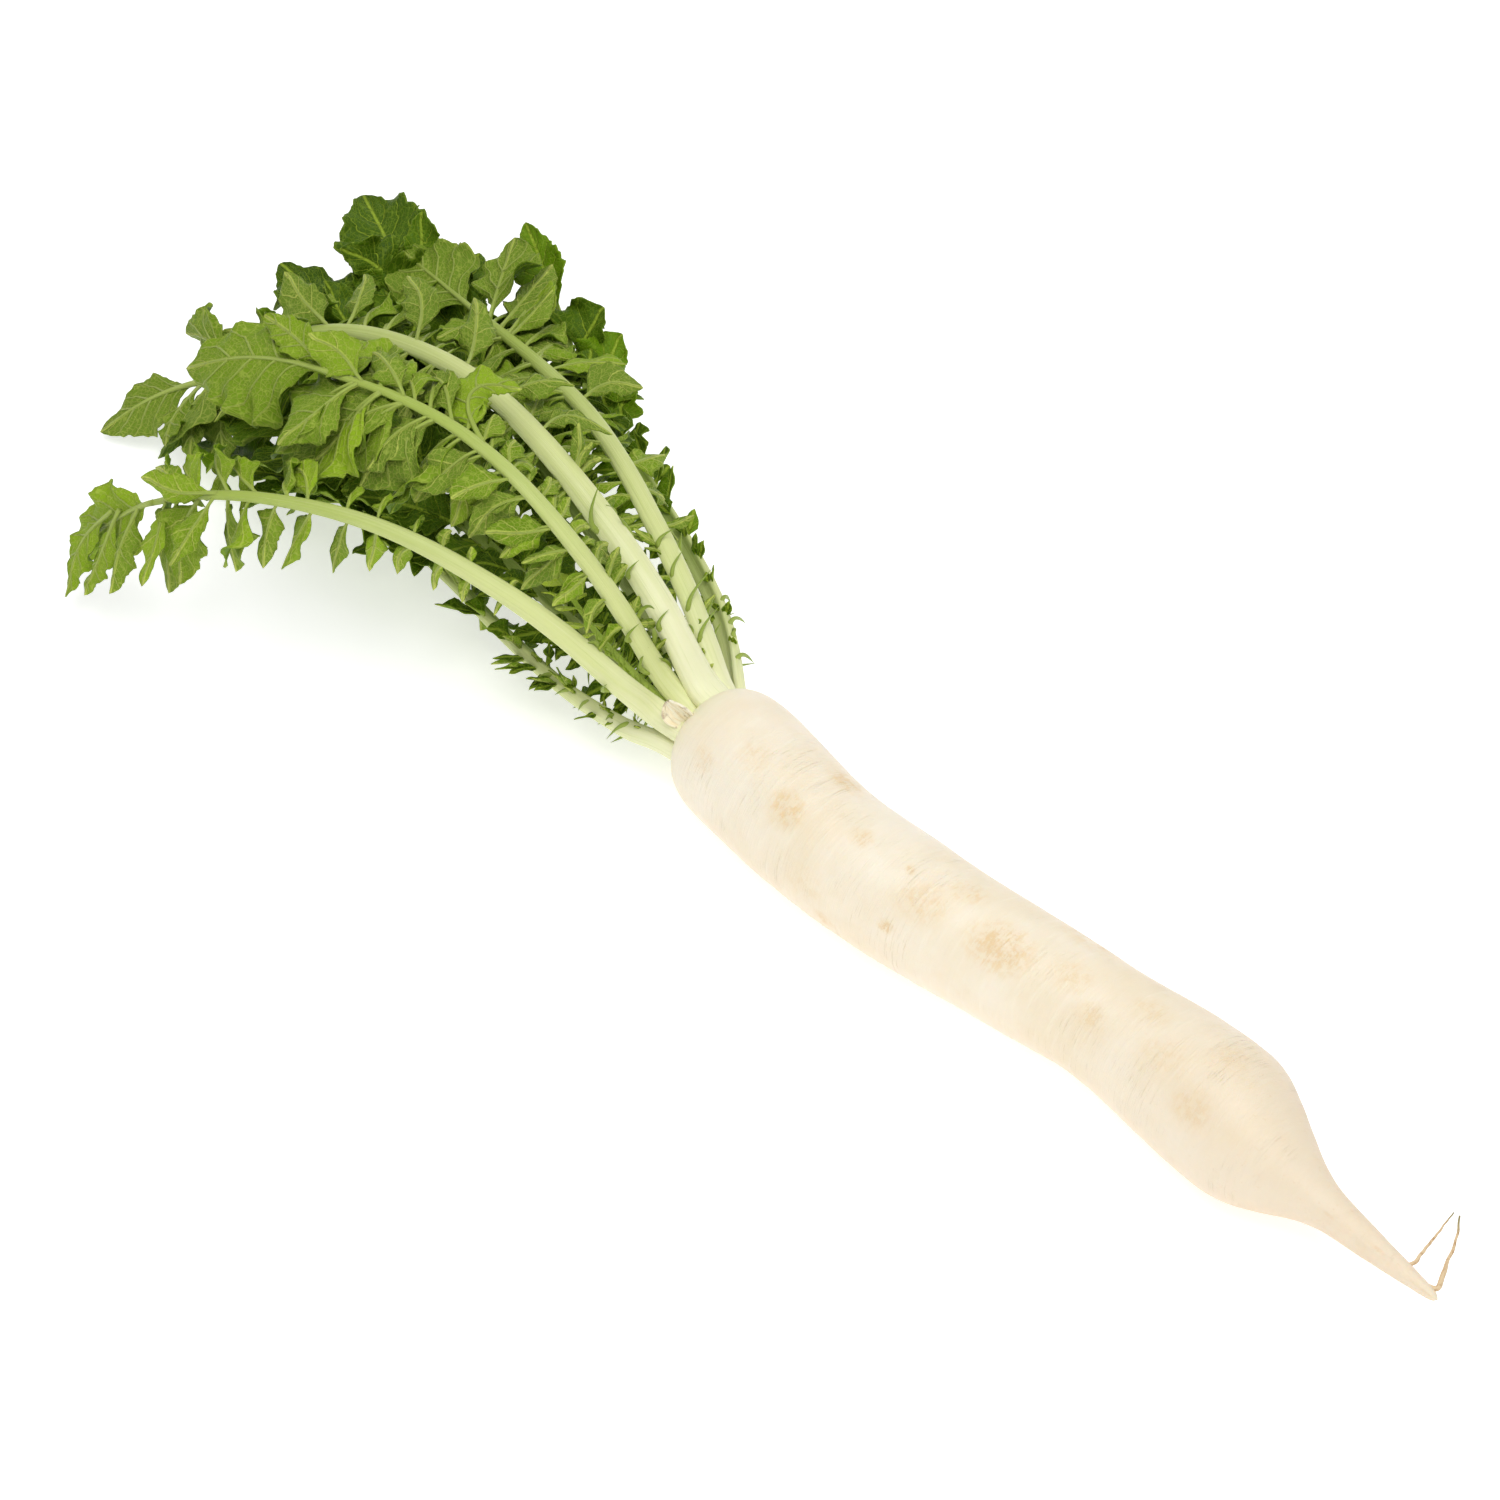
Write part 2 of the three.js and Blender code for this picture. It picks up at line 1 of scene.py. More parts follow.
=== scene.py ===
# %% [markdown]
# # A daikon radish with its leaves
#
# A daikon is a long white taproot with a crown of fronds. This one was pulled up whole and laid
# on its side. The root lies along X with its tail towards +X, and the fronds reach to -X.
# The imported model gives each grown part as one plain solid. The lesson replaces those solids one
# by one with finer pieces of the same form, so it repeats the sizes that the solids grew from.
# Sizes are in millimetres until a piece is finished, because a radish is easy to think of so.

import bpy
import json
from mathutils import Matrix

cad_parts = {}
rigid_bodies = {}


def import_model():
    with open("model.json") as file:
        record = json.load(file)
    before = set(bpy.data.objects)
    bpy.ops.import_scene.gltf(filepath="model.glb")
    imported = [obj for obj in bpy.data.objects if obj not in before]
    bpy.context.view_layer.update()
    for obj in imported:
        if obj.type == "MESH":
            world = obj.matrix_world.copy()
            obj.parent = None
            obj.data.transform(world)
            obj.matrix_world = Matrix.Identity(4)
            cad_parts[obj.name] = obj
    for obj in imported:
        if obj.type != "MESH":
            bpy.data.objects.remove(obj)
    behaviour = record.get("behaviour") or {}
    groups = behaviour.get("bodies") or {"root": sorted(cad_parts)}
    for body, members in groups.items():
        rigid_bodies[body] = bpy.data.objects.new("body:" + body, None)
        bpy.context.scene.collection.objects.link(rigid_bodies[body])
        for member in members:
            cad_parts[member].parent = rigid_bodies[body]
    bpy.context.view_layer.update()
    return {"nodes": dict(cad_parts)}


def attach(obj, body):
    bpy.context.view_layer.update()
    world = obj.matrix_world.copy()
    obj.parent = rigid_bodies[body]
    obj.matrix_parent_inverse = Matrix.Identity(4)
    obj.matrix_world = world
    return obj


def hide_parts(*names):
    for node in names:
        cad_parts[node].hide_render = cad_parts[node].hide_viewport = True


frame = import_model()
print("solids:", ", ".join(sorted(frame["nodes"])))

# %% Tools of the lesson
import json
import math

import bmesh
import bpy
import numpy as np
from mathutils import Vector, noise
from mathutils.kdtree import KDTree

MM = 0.001
TURN = 2 * math.pi

# %% [markdown]
# ## The camera
#
# The radish is seen from beside its tail and from above, from far away through a long lens, so
# that its far end isn't drawn much smaller than its near end. A camera could be placed by trial.
# Here it stands on a line that leaves a target on the radish at a compass angle and a height
# angle, and looks back along it, because then each of the four numbers changes one thing only.

# %% Camera
TARGET = Vector((-14, 4, 37)) * MM
COMPASS = math.radians(48)
HEIGHT = math.radians(45)
DISTANCE = 1.9
LENS = 106.05

level = Vector((math.sin(COMPASS), -math.cos(COMPASS), 0))
away = level * math.cos(HEIGHT) + Vector((0, 0, math.sin(HEIGHT)))
camera = bpy.data.objects.new("camera", bpy.data.cameras.new("camera"))
camera.data.lens = LENS
camera.location = TARGET + away * DISTANCE
camera.rotation_euler = away.to_track_quat("Z", "Y").to_euler()
bpy.context.scene.collection.objects.link(camera)
bpy.context.scene.camera = camera
print("camera at", [round(value, 3) for value in camera.location])

# %% [markdown]
# ## Light
#
# A produce studio lights from everywhere at once, so that shadows nearly vanish. Many lamps could
# do it, but a bright even sky does most of it with no noise. One large soft panel overhead and a
# weaker one from behind the leaves add just enough direction to round the root and to separate
# the leaves.

# %% Sky and soft panels
bpy.context.scene.view_settings.view_transform = "Standard"
SKY_STRENGTH = 0.45
world = bpy.data.worlds.new("studio")
world.use_nodes = True
world.node_tree.nodes["Background"].inputs["Color"].default_value = (1, 1, 1, 1)
world.node_tree.nodes["Background"].inputs["Strength"].default_value = SKY_STRENGTH
bpy.context.scene.world = world


def soft_panel(name, place, size, watts):
    """A square panel light that faces the radish."""
    data = bpy.data.lights.new(name, "AREA")
    data.size = size
    data.energy = watts
    panel = bpy.data.objects.new(name, data)
    panel.location = Vector(place)
    panel.rotation_euler = (panel.location - TARGET).to_track_quat("Z", "Y").to_euler()
    bpy.context.scene.collection.objects.link(panel)


soft_panel("panel_over", (0.4, -0.3, 1.9), 1.5, 26)
soft_panel("panel_behind", (-1.4, 1.3, 1.0), 1.2, 4)
print("light: a sky of strength", SKY_STRENGTH, "and two soft panels")

# %% [markdown]
# ## Node expressions
#
# A finish is a small program that runs at every point of a surface. Drawing its nodes one by one
# hides what it means, and it is slow to change. So a socket is wrapped here in a class that knows
# how to add, subtract and multiply, and `1 - mask * 0.5` builds its own Math nodes. Colours and
# vectors go through nodes of their own, because a Math node would turn a colour grey.

# %% Sockets that can be reckoned with


class Wire:
    """A socket of a finish, which adds Math nodes when it is reckoned with."""

    def __init__(self, finish, socket):
        self.finish = finish
        self.socket = socket

    def __add__(self, other):
        return self.finish.maths("ADD", self, other)

    def __sub__(self, other):
        return self.finish.maths("SUBTRACT", self, other)

    def __mul__(self, other):
        return self.finish.maths("MULTIPLY", self, other)

    def __rsub__(self, other):
        return self.finish.maths("SUBTRACT", other, self)

    __radd__ = __add__
    __rmul__ = __mul__


# %% Colours


def colour(red, green, blue):
    """A colour given from 0 to 255 as a screen shows it, in the light values that nodes use."""
    def light(value):
        value = value / 255
        return value / 12.92 if value <= 0.04045 else ((value + 0.055) / 1.055) ** 2.4

    return (light(red), light(green), light(blue), 1)


# %% A finish and its nodes


class Finish:
    """A material whose nodes are written as expressions."""

    def __init__(self, name):
        self.material = bpy.data.materials.new(name)
        self.material.use_nodes = True
        self.tree = self.material.node_tree
        self.shader = self.tree.nodes["Principled BSDF"]

    def node(self, kind, settings, sockets, out=0):
        """Adds a node: its settings first, then its sockets' values or links."""
        made = self.tree.nodes.new(kind)
        for name, value in settings.items():
            setattr(made, name, value)
        for name, value in sockets.items():
            self.put(made.inputs[name], value)
        return Wire(self, made.outputs[out])

    def put(self, socket, value):
        if isinstance(value, Wire):
            self.tree.links.new(value.socket, socket)
        else:
            socket.default_value = value

    def maths(self, operation, first, second=0.0):
        return self.node("ShaderNodeMath", {"operation": operation}, {0: first, 1: second})

    def step(self, value, low, high):
        """0 below low, 1 above high, and a smooth rise between."""
        limits = {"Value": value, "From Min": low, "From Max": high}
        return self.node("ShaderNodeMapRange", {"interpolation_type": "SMOOTHSTEP"}, limits)

    def mix(self, first, second, share):
        """A colour between two."""
        sockets = {0: share, 6: first, 7: second}
        return self.node("ShaderNodeMix", {"data_type": "RGBA"}, sockets, out=2)

    def place(self):
        """Where a point of the piece is, in metres."""
        return self.node("ShaderNodeTexCoord", {}, {}, out=3)

    def grown(self, name):
        """A vector that was stored on the piece's corners as it was made."""
        return self.node("ShaderNodeAttribute", {"attribute_name": name}, {}, out=1)

    def parts(self, vector):
        """The X, Y and Z of a vector."""
        split = self.node("ShaderNodeSeparateXYZ", {}, {0: vector})
        sockets = split.socket.node.outputs
        return [Wire(self, socket) for socket in sockets]

    def join(self, x, y, z):
        return self.node("ShaderNodeCombineXYZ", {}, {0: x, 1: y, 2: z})

    def stretch(self, vector, factors):
        return self.node("ShaderNodeVectorMath", {"operation": "MULTIPLY"}, {0: vector, 1: factors})

    def cloud(self, vector, scale, detail=3.0, roughness=0.55, distortion=0.0):
        """Soft noise from 0 to 1."""
        sockets = {
            "Vector": vector, "Scale": scale, "Detail": detail,
            "Roughness": roughness, "Distortion": distortion,
        }
        return self.node("ShaderNodeTexNoise", {}, sockets)

    def cracks(self, vector, scale):
        """How far a point is from the nearest border between scattered cells."""
        settings = {"feature": "DISTANCE_TO_EDGE"}
        return self.node("ShaderNodeTexVoronoi", settings, {"Vector": vector, "Scale": scale})

    def wear(self, base, roughness, relief, depth):
        """Connects colour, roughness and a relief whose full height is depth metres."""
        self.put(self.shader.inputs["Base Color"], base)
        self.put(self.shader.inputs["Roughness"], roughness)
        bump = self.node("ShaderNodeBump", {}, {"Height": relief, "Distance": depth, "Strength": 1.0})
        self.put(self.shader.inputs["Normal"], bump)

    def flesh(self, weight, scale, radius):
        """Lets light wander a little way under the surface."""
        self.shader.inputs["Subsurface Weight"].default_value = weight
        self.shader.inputs["Subsurface Scale"].default_value = scale
        self.shader.inputs["Subsurface Radius"].default_value = radius


# %% [markdown]
# ## The floor
#
# The radish lies on a plain white table of milky glass that is lit from below, as is usual for
# produce: the glow thins out the shadows and lights the undersides. A lamp under real glass would
# be slow to render, so the table glows by itself. A faint mottling keeps it from looking like
# empty space. It is stage, and not a part of the object.

# %% Floor
FLOOR_SIZE = 6
FLOOR_GLOW = 0.55
FLOOR_GREYS = (0.79, 0.79, 0.79, 1), (0.82, 0.82, 0.82, 1)

paint = Finish("floor_white")
mottle = paint.cloud(paint.place(), 3.0)
paint.put(paint.shader.inputs["Base Color"], paint.mix(*FLOOR_GREYS, mottle))
paint.shader.inputs["Emission Color"].default_value = (1, 1, 1, 1)
paint.shader.inputs["Emission Strength"].default_value = FLOOR_GLOW
paint.shader.inputs["Roughness"].default_value = 0.9
paint.shader.inputs["Specular IOR Level"].default_value = 0.1

bm = bmesh.new()
bmesh.ops.create_grid(bm, x_segments=1, y_segments=1, size=FLOOR_SIZE / 2)
floor_mesh = bpy.data.meshes.new("floor")
bm.to_mesh(floor_mesh)
bm.free()
floor_mesh.materials.append(paint.material)
floor = bpy.data.objects.new("floor", floor_mesh)
bpy.context.scene.collection.objects.link(floor)
print("floor:", FLOOR_SIZE, "metres across")

# %% [markdown]
# ## Finishing a piece
#
# All the pieces are made the same way: their points are moved into place in millimetres, the mesh
# is brought to metres, and the object stays at the origin. Each rides on the only body, and the
# solids that it replaces are hidden.
# Most begin as a flat grid, because an operator makes it, and its two ways are easy to name: one
# becomes the way along the piece, and the other the way across it or round it.

# %% Hand a mesh over as a piece


def finish_piece(name, bm, nodes, materials):
    """Turns a mesh in millimetres into a smooth piece of the radish."""
    bmesh.ops.scale(bm, vec=(MM, MM, MM), verts=bm.verts)
    mesh = bpy.data.meshes.new(name)
    bm.to_mesh(mesh)
    bm.free()
    mesh.shade_smooth()
    for material in materials:
        mesh.materials.append(material)
    piece = bpy.data.objects.new(name, mesh)
    bpy.context.scene.collection.objects.link(piece)
    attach(piece, "root")
    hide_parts(*nodes)
    print(name, "has", len(mesh.polygons), "faces")
    return piece


# %% Grids and tubes
SEAM_GAP = 0.001


def flat_grid(bm, columns, rows):
    """A square grid with its corners, and each one's place across (-1 to 1) and along (0 to 1)."""
    made = bmesh.ops.create_grid(bm, x_segments=columns, y_segments=rows, size=1)
    flat = np.array([vert.co for vert in made["verts"]], float)
    return made["verts"], flat[:, 0], (flat[:, 1] + 1) / 2


def put_points(verts, points):
    """Moves corners to their points."""
    for vert, point in zip(verts, points):
        vert.co = point


def roll_tube(bm, sides, steps, round_at, store):
    """A grid rolled into a tube, with its seam closed and its ends filled.

    round_at(angles, shares) gives the tube's points. store(verts, angles, shares) keeps what a
    finish needs to know about them."""
    verts, across, shares = flat_grid(bm, sides, steps)
    angles = across * math.pi
    put_points(verts, round_at(angles, shares))
    store(verts, angles, shares)
    bmesh.ops.remove_doubles(bm, verts=verts, dist=SEAM_GAP)
    kept = [vert for vert in verts if vert.is_valid]
    rims = {edge for vert in kept for edge in vert.link_edges if edge.is_boundary}
    bmesh.ops.holes_fill(bm, edges=list(rims), sides=sides)


# %% [markdown]
# ## The root's form
#
# A taproot is a body of revolution that lost its way: its middle line wanders, and it is a little
# wider one way than the other. So a straight outline is spun on a lathe first. Then every point
# is moved, to follow the middle line and the turning out-of-round. Soft dents and low rings,
# where the root met stones and shed its side roots, are pressed in as real relief, because they
# show in the outline. The spots it lies on are flat, as soft flesh is where it rests.

# %% Sizes of the root
ROOT_SIDE = [
    # run along the root, radius
    (-42, 0.2), (-41.6, 10), (-40.6, 16.5),
    (-39, 20.5), (-33, 26.3), (-22, 29.8), (-4, 30.5), (40, 29.2), (85, 28.7), (130, 27.2),
    (172, 25.9), (195, 25.3), (216, 26.6), (240, 28.9), (256, 29.6), (270, 28.8), (283, 24.8),
    (295, 19.3), (309, 12.6), (322, 8.7), (345, 5.9), (366, 3.4), (376, 1.8), (378, 0.1),
]
ROOT_LINE = [
    # run along the root, the middle's Y and Z
    (-60, 2.5, 30.2), (-6, 0.1, 29.9), (45, -4.6, 29.7), (95, -1.4, 29.3), (145, 5.4, 29.1),
    (200, 12.4, 29), (258, 13, 29), (290, 8.6, 28.5), (330, 8.2, 27.4), (390, 7.6, 25.6),
]
OUT_OF_ROUND = 0.012
OUT_OF_ROUND_TURN = 60
ROOT_RINGS = 330
ROOT_SIDES = 128


def read_at(rows, place):
    """Reads rows of (place, value, value...) at a place, along a smooth line through them."""
    last = len(rows) - 2
    row = next((i for i, item in enumerate(rows) if item[0] >= place), 0) - 1
    row = min(last, max(0, row))
    start, end = rows[row], rows[row + 1]
    before, after = rows[max(0, row - 1)], rows[min(last + 1, row + 2)]
    span = end[0] - start[0]
    t = min(1, max(0, (place - start[0]) / span))
    values = []
    for i in range(1, len(start)):
        leave = (end[i] - before[i]) / (end[0] - before[0]) * span
        arrive = (after[i] - start[i]) / (after[0] - start[0]) * span
        values.append(start[i] * (2 * t ** 3 - 3 * t ** 2 + 1) + leave * (t ** 3 - 2 * t ** 2 + t)
                      + end[i] * (3 * t ** 2 - 2 * t ** 3) + arrive * (t ** 3 - t ** 2))
    return values


# %% Draws and smooth rises


def smooth_rise(start, end, value):
    """A smooth rise from 0 at start to 1 at end."""
    t = min(1, max(0, (value - start) / (end - start)))
    return t * t * (3 - 2 * t)


class Draws:
    """A stream of numbers from 0 to 1 that is the same on every run."""

    def __init__(self, seed):
        self.state = seed

    def next(self):
        self.state = (self.state * 1664525 + 1013904223) % 4294967296
        return self.state / 4294967296

    def spread(self, size):
        """A number up to size either side of 0."""
        return (self.next() * 2 - 1) * size


# %% Dents, rings and scars
DENT, DENT_LENGTH, DENT_TURNS = 0.5, 34, 1.2
RIPPLE, RIPPLE_LENGTH, RIPPLE_TURNS = 0.14, 7, 0.9
RIPPLE_ELSEWHERE = 7
SIDE_ROOT_SCARS, SCARS_SEED = 26, 5
SCARS_FROM, SCARS_OVER = -10, 350
SCAR_TURN, SCAR_TURN_SPREAD = 0.12, 0.2
SCAR_DEPTH = 0.35
SCAR_LENGTH, SCAR_END = 0.9, 4


def side_root_scars():
    """Where side roots came off: a place along the root, an angle, how wide and how deep."""
    draws = Draws(SCARS_SEED)
    scars = []
    for number in range(SIDE_ROOT_SCARS):
        run = SCARS_FROM + SCARS_OVER * (number + draws.next()) / SIDE_ROOT_SCARS
        angle = draws.spread(math.pi)
        reach = SCAR_TURN + SCAR_TURN_SPREAD * draws.next()
        scars.append((run, angle, reach, SCAR_DEPTH * (0.4 + 0.6 * draws.next())))
    return scars


def relief_of_root(run, angle, scars):
    """How far the skin stands out at a place along the root and an angle around it."""
    facing = Vector((math.cos(angle), math.sin(angle)))
    dent = noise.noise(Vector((run / DENT_LENGTH, facing.x * DENT_TURNS, facing.y * DENT_TURNS)))
    ripple = noise.noise(Vector((
        run / RIPPLE_LENGTH, facing.x * RIPPLE_TURNS + RIPPLE_ELSEWHERE, facing.y * RIPPLE_TURNS)))
    height = DENT * dent + RIPPLE * ripple
    for place, middle, reach, depth in scars:
        if abs(run - place) < SCAR_END:
            turn = math.remainder(angle - middle, TURN)
            close = math.exp(-((run - place) / SCAR_LENGTH) ** 2 - (turn / reach) ** 2)
            height -= depth * close
    return height


# %% Spin the root
CALM_FROM, CALM_TO = 1, 8
SPIN_GAP = 0.01

scars = side_root_scars()
bm = bmesh.new()
start, end = ROOT_SIDE[0][0], ROOT_SIDE[-1][0]
spans = [start + (end - start) * i / ROOT_RINGS for i in range(ROOT_RINGS + 1)]
line = [bm.verts.new((run, 0, max(0, read_at(ROOT_SIDE, run)[0]))) for run in spans]
edges = [bm.edges.new(pair) for pair in zip(line, line[1:])]
bmesh.ops.spin(bm, geom=line + edges, cent=(0, 0, 0), axis=(1, 0, 0), angle=TURN,
               steps=ROOT_SIDES, use_merge=True)
skin = bm.verts.layers.float_vector.new("skin")
for vert in bm.verts:
    run, angle = vert.co.x, math.atan2(vert.co.z, -vert.co.y)
    middle, height = read_at(ROOT_LINE, run)
    spun = math.hypot(vert.co.y, vert.co.z)
    calm = smooth_rise(CALM_FROM, CALM_TO, spun)
    stretch = 1 - OUT_OF_ROUND * math.cos(2 * angle + run / OUT_OF_ROUND_TURN)
    radius = spun * stretch + calm * relief_of_root(run, angle, scars)
    vert[skin] = (math.cos(angle), math.sin(angle), run)
    vert.co = (run, middle - radius * math.cos(angle), max(0, height + radius * math.sin(angle)))
bmesh.ops.remove_doubles(bm, verts=bm.verts, dist=SPIN_GAP)
bmesh.ops.recalc_face_normals(bm, faces=bm.faces)
root_bm = bm
print("root spun:", len(root_bm.verts), "points")

# %% [markdown]
# ## The root's skin
#
# The skin is thin, smooth and damp, so it is satin rather than matt, and light sinks into the
# watery flesh behind it. Fine rings run round it where the side roots stood. The skin is
# scuffed to ochre where it rubbed against stones, and it darkens to beige towards the tail.
# Its far side and underside are painted a deeper beige as painted shade, more so towards the tail.
# Noise alone would put scuffs anywhere. So each scuff has a place, which is stored on the skin's
# corners as a soft spot, and noise only breaks up its edge.

# %% Where the skin is scuffed
SCUFFS = [
    # run along the root, angle round it (0 towards -Y, 90 up), reach, strength
    (150, 62, 17, 1.0), (181, 73, 11, 0.55), (199, 51, 8, 0.6), (218, 89, 10, 0.55), (122, 91, 9, 0.65),
    (112, 60, 13, 0.55), (103, 25, 4, 1.0), (97, 78, 3, 0.9), (35, 58, 11, 0.9), (72, -10, 6, 0.8),
    (258, 97, 10, 0.5), (260, 43, 11, 0.7), (235, 60, 12, 0.4), (325, 45, 3, 0.9), (349, 60, 6, 0.7),
    (371, 40, 6, 0.8), (41, 118, 10, 0.85), (71, 78, 6, 0.7), (60, 14, 12, 0.35), (6, 70, 9, 0.4),
    (170, 130, 14, 0.5), (90, -160, 16, 0.5), (230, 170, 15, 0.5), (-14, 40, 7, 0.45),
]
ROOT_RADIUS = 28
SCUFF_SHORTER = 0.8
SCUFF_HEART = 0.25
TAIL_FROM, TAIL_TO = 150, 360
CROWN_FROM, CROWN_TO = -20, -42

scuff = root_bm.verts.layers.float_vector.new("scuff")
for vert in root_bm.verts:
    cosine, sine, run = vert[skin]
    angle = math.atan2(sine, cosine)
    worn = 0
    for place, middle, reach, strength in SCUFFS:
        round_gap = math.remainder(angle - math.radians(middle), TURN) * ROOT_RADIUS
        gap = math.hypot((run - place) * SCUFF_SHORTER, round_gap)
        if gap < reach:
            worn = max(worn, strength * smooth_rise(reach, reach * SCUFF_HEART, gap))
    vert[scuff] = (worn, smooth_rise(TAIL_FROM, TAIL_TO, run), smooth_rise(CROWN_FROM, CROWN_TO, run))
print("scuffs:", len(SCUFFS))

# %% The skin's finish
paint = Finish("root_skin")
around = paint.grown("skin")
worn, tail, crown = paint.parts(paint.grown("scuff"))
space = paint.place()
rings = paint.cloud(paint.stretch(around, (1.1, 1.1, 0.33)), 1.0, 5, 0.6)
fine_rings = paint.cloud(paint.stretch(around, (1.6, 1.6, 1.7)), 1.0, 3, 0.6)
ring_marks = paint.step(fine_rings, 0.60, 0.70) * paint.step(paint.cloud(space, 42), 0.42, 0.62)
blotch = paint.cloud(space, 17, 4, 0.6)
grain = paint.cloud(space, 420, 4, 0.65)
scratch = paint.cloud(paint.stretch(around, (3.2, 3.2, 0.9)), 1.0, 6, 0.7, 0.6)
spots = paint.cloud(space, 260, 5, 0.7)
scuffed = worn * paint.step(scratch * 0.4 + spots * 0.6, 0.44, 0.60)

cream = paint.mix(colour(248, 238, 219), colour(241, 226, 197), paint.step(blotch, 0.30, 0.75))
cream = paint.mix(cream, colour(243, 225, 190), ring_marks * 0.40)
cream = paint.mix(cream, colour(252, 243, 224), paint.step(rings, 0.50, 0.72) * 0.35)
cream = paint.mix(cream, colour(238, 212, 164), worn * 0.35)
cream = paint.mix(cream, colour(232, 194, 126), scuffed * 0.55)
cream = paint.mix(cream, colour(230, 211, 182), tail * 0.62)
cream = paint.mix(cream, colour(226, 196, 150), paint.step(grain, 0.60, 0.75) * (tail + worn * 0.6) * 0.35)
cream = paint.mix(cream, colour(243, 236, 205), crown * 0.7)
# Painted shade: the far side and the underside are darkened to a deeper beige, more so towards the tail.
to_near_side, height = paint.parts(around)[:2]
painted_shade_away = paint.step(0.75 - to_near_side * 0.5 - height * 0.86, 0.0, 1.0)
cream = paint.mix(cream, colour(226, 203, 172), painted_shade_away * (tail * 0.42 + 0.36))
relief = rings * 0.5 + fine_rings * 0.35 + grain * 0.12 - ring_marks * 0.25 - scuffed * 0.2
paint.wear(cream, 0.34 + grain * 0.1 + scuffed * 0.22 + tail * 0.1, relief, 0.0007)
paint.flesh(0.35, 0.006, (1.0, 0.75, 0.45))
finish_piece("radish_root", root_bm, ["root"], [paint.material])

# %% [markdown]
# ## Rootlets
#
# Two thin rootlets were left on the tail. They curl up and to the far side. Where they leave the
# tail they are two to three millimetres thick, and they thin to threads. A curve with a bevel
# would be perfectly even, so each is a tube that is rolled round a route through a few points,
# and noise lets it wander and swell.

# %% Smooth routes


def unit(vectors):
    return vectors / np.linalg.norm(vectors, axis=-1, keepdims=True)


class Route:
    """A smooth line through points, with a face that turns about it along the way."""

    TABLE = 200

    def __init__(self, points, turn):
        self.points = np.array(points, float)
        self.turn = np.radians(turn)
        self.times = np.linspace(0, 1, self.TABLE + 1)
        steps = np.linalg.norm(np.diff(self.spline(self.times), axis=0), axis=1)
        self.walked = np.concatenate([[0], np.cumsum(steps)])
        self.length = self.walked[-1]

    def spline(self, times):
        """Points of a Catmull-Rom line. Its ends go on as they came."""
        row = self.points
        known = np.vstack([2 * row[0] - row[1], row, 2 * row[-1] - row[-2]])
        place = np.clip(times, 0, 1) * (len(row) - 1)
        first = np.minimum(place.astype(int), len(row) - 2)
        w = (place - first)[:, None]
        before, start, end, after = (known[first + i] for i in range(4))
        leave, arrive = (end - before) / 2, (after - start) / 2
        square = 3 * (end - start) - 2 * leave - arrive
        return start + leave * w + square * w ** 2 + (2 * (start - end) + leave + arrive) * w ** 3

    def at(self, shares):
        """The points at shares of the length, and there the ways along, off the face and aside."""
        times = np.interp(np.asarray(shares) * self.length, self.walked, self.times)
        nudge = 1e-4
        ahead = self.spline(np.minimum(times + nudge, 1))
        along = unit(ahead - self.spline(np.maximum(times - nudge, 0)))
        up = unit(np.array([0, 0, 1]) - along * along[:, 2:])
        level = np.cross(along, up)
        angle = (self.turn[0] + (self.turn[1] - self.turn[0]) * np.asarray(shares))[:, None]
        face = up * np.cos(angle) + level * np.sin(angle)
        return self.spline(times), along, face, np.cross(along, face)


# %% Two rootlets
ROOTLETS = [
    # name, radius at the tail, radius at the end, route
    ("rootlet_long", 1.6, 0.35,
     [(362, 8, 26.5), (374, 11, 26), (371, 19, 27), (366, 31, 30), (360, 39, 35)]),
    ("rootlet_short", 1.0, 0.25, [(354, 8, 27), (360, 12, 27.5), (360, 20, 30), (358, 38, 36)]),
]
ROOTLET_SIDES = 10
ROOTLET_STEPS = 60
ROOTLET_BENDS = 9
ROOTLET_SWELL = 0.25
ROOTLET_WANDER = 0.8


def rootlet_tube(points, start, end):
    """A thin wandering tube that knows how far along it each of its corners is."""
    route = Route(points, (0, 0))
    bm = bmesh.new()
    run = bm.verts.layers.float_vector.new("run")

    def round_at(angles, shares):
        middle, along, face, side = route.at(shares)
        wander = np.array([noise.noise(Vector((share * ROOTLET_BENDS, start, 0))) for share in shares])
        radius = (start + (end - start) * shares) * (1 + ROOTLET_SWELL * wander)
        reach = side * np.sin(angles)[:, None] + face * np.cos(angles)[:, None]
        return middle + side * (wander * ROOTLET_WANDER)[:, None] + reach * radius[:, None]

    def store(verts, angles, shares):
        for vert, share in zip(verts, shares):
            vert[run] = (share, 0, 0)

    roll_tube(bm, ROOTLET_SIDES, ROOTLET_STEPS, round_at, store)
    return bm


paint = Finish("rootlet_skin")
share = paint.parts(paint.grown("run"))[0]
speckle = paint.cloud(paint.place(), 500, 3)
browned = paint.step(speckle, 0.42, 0.7) * 0.6 + share * 0.3
shade = paint.mix(colour(232, 208, 168), colour(176, 132, 84), browned)
shade = paint.mix(shade, colour(122, 120, 62), paint.step(share, 0.8, 0.98) * 0.8)
paint.wear(shade, 0.55 + speckle * 0.2, speckle, 0.0002)
for name, start, end, points in ROOTLETS:
    finish_piece(name, rootlet_tube(points, start, end), ["root"], [paint.material])

# %% [markdown]
# ## How fronds grow
#
# Every frond has a stalk that leaves the crown, arches over and hangs down under the leaf at its
# end. Leaflets sit along it in loose pairs that grow from the crown outward. No two leaflets
# are alike, so their sizes and angles are drawn, from a stream that repeats itself on every run.
# The solids were drawn from the same stream, and so each leaflet here grows where its solid is.

# %% Sizes of the fronds
CROWN_MIDDLE = (3, 30)
STALK_FOOT = -32
FOOT_DEPTH = 0.55
STALK_DEPTH = 0.84
GROOVE_DEPTH = 0.7
WIDTH_AT = (0, 0.12, 0.45, 1)

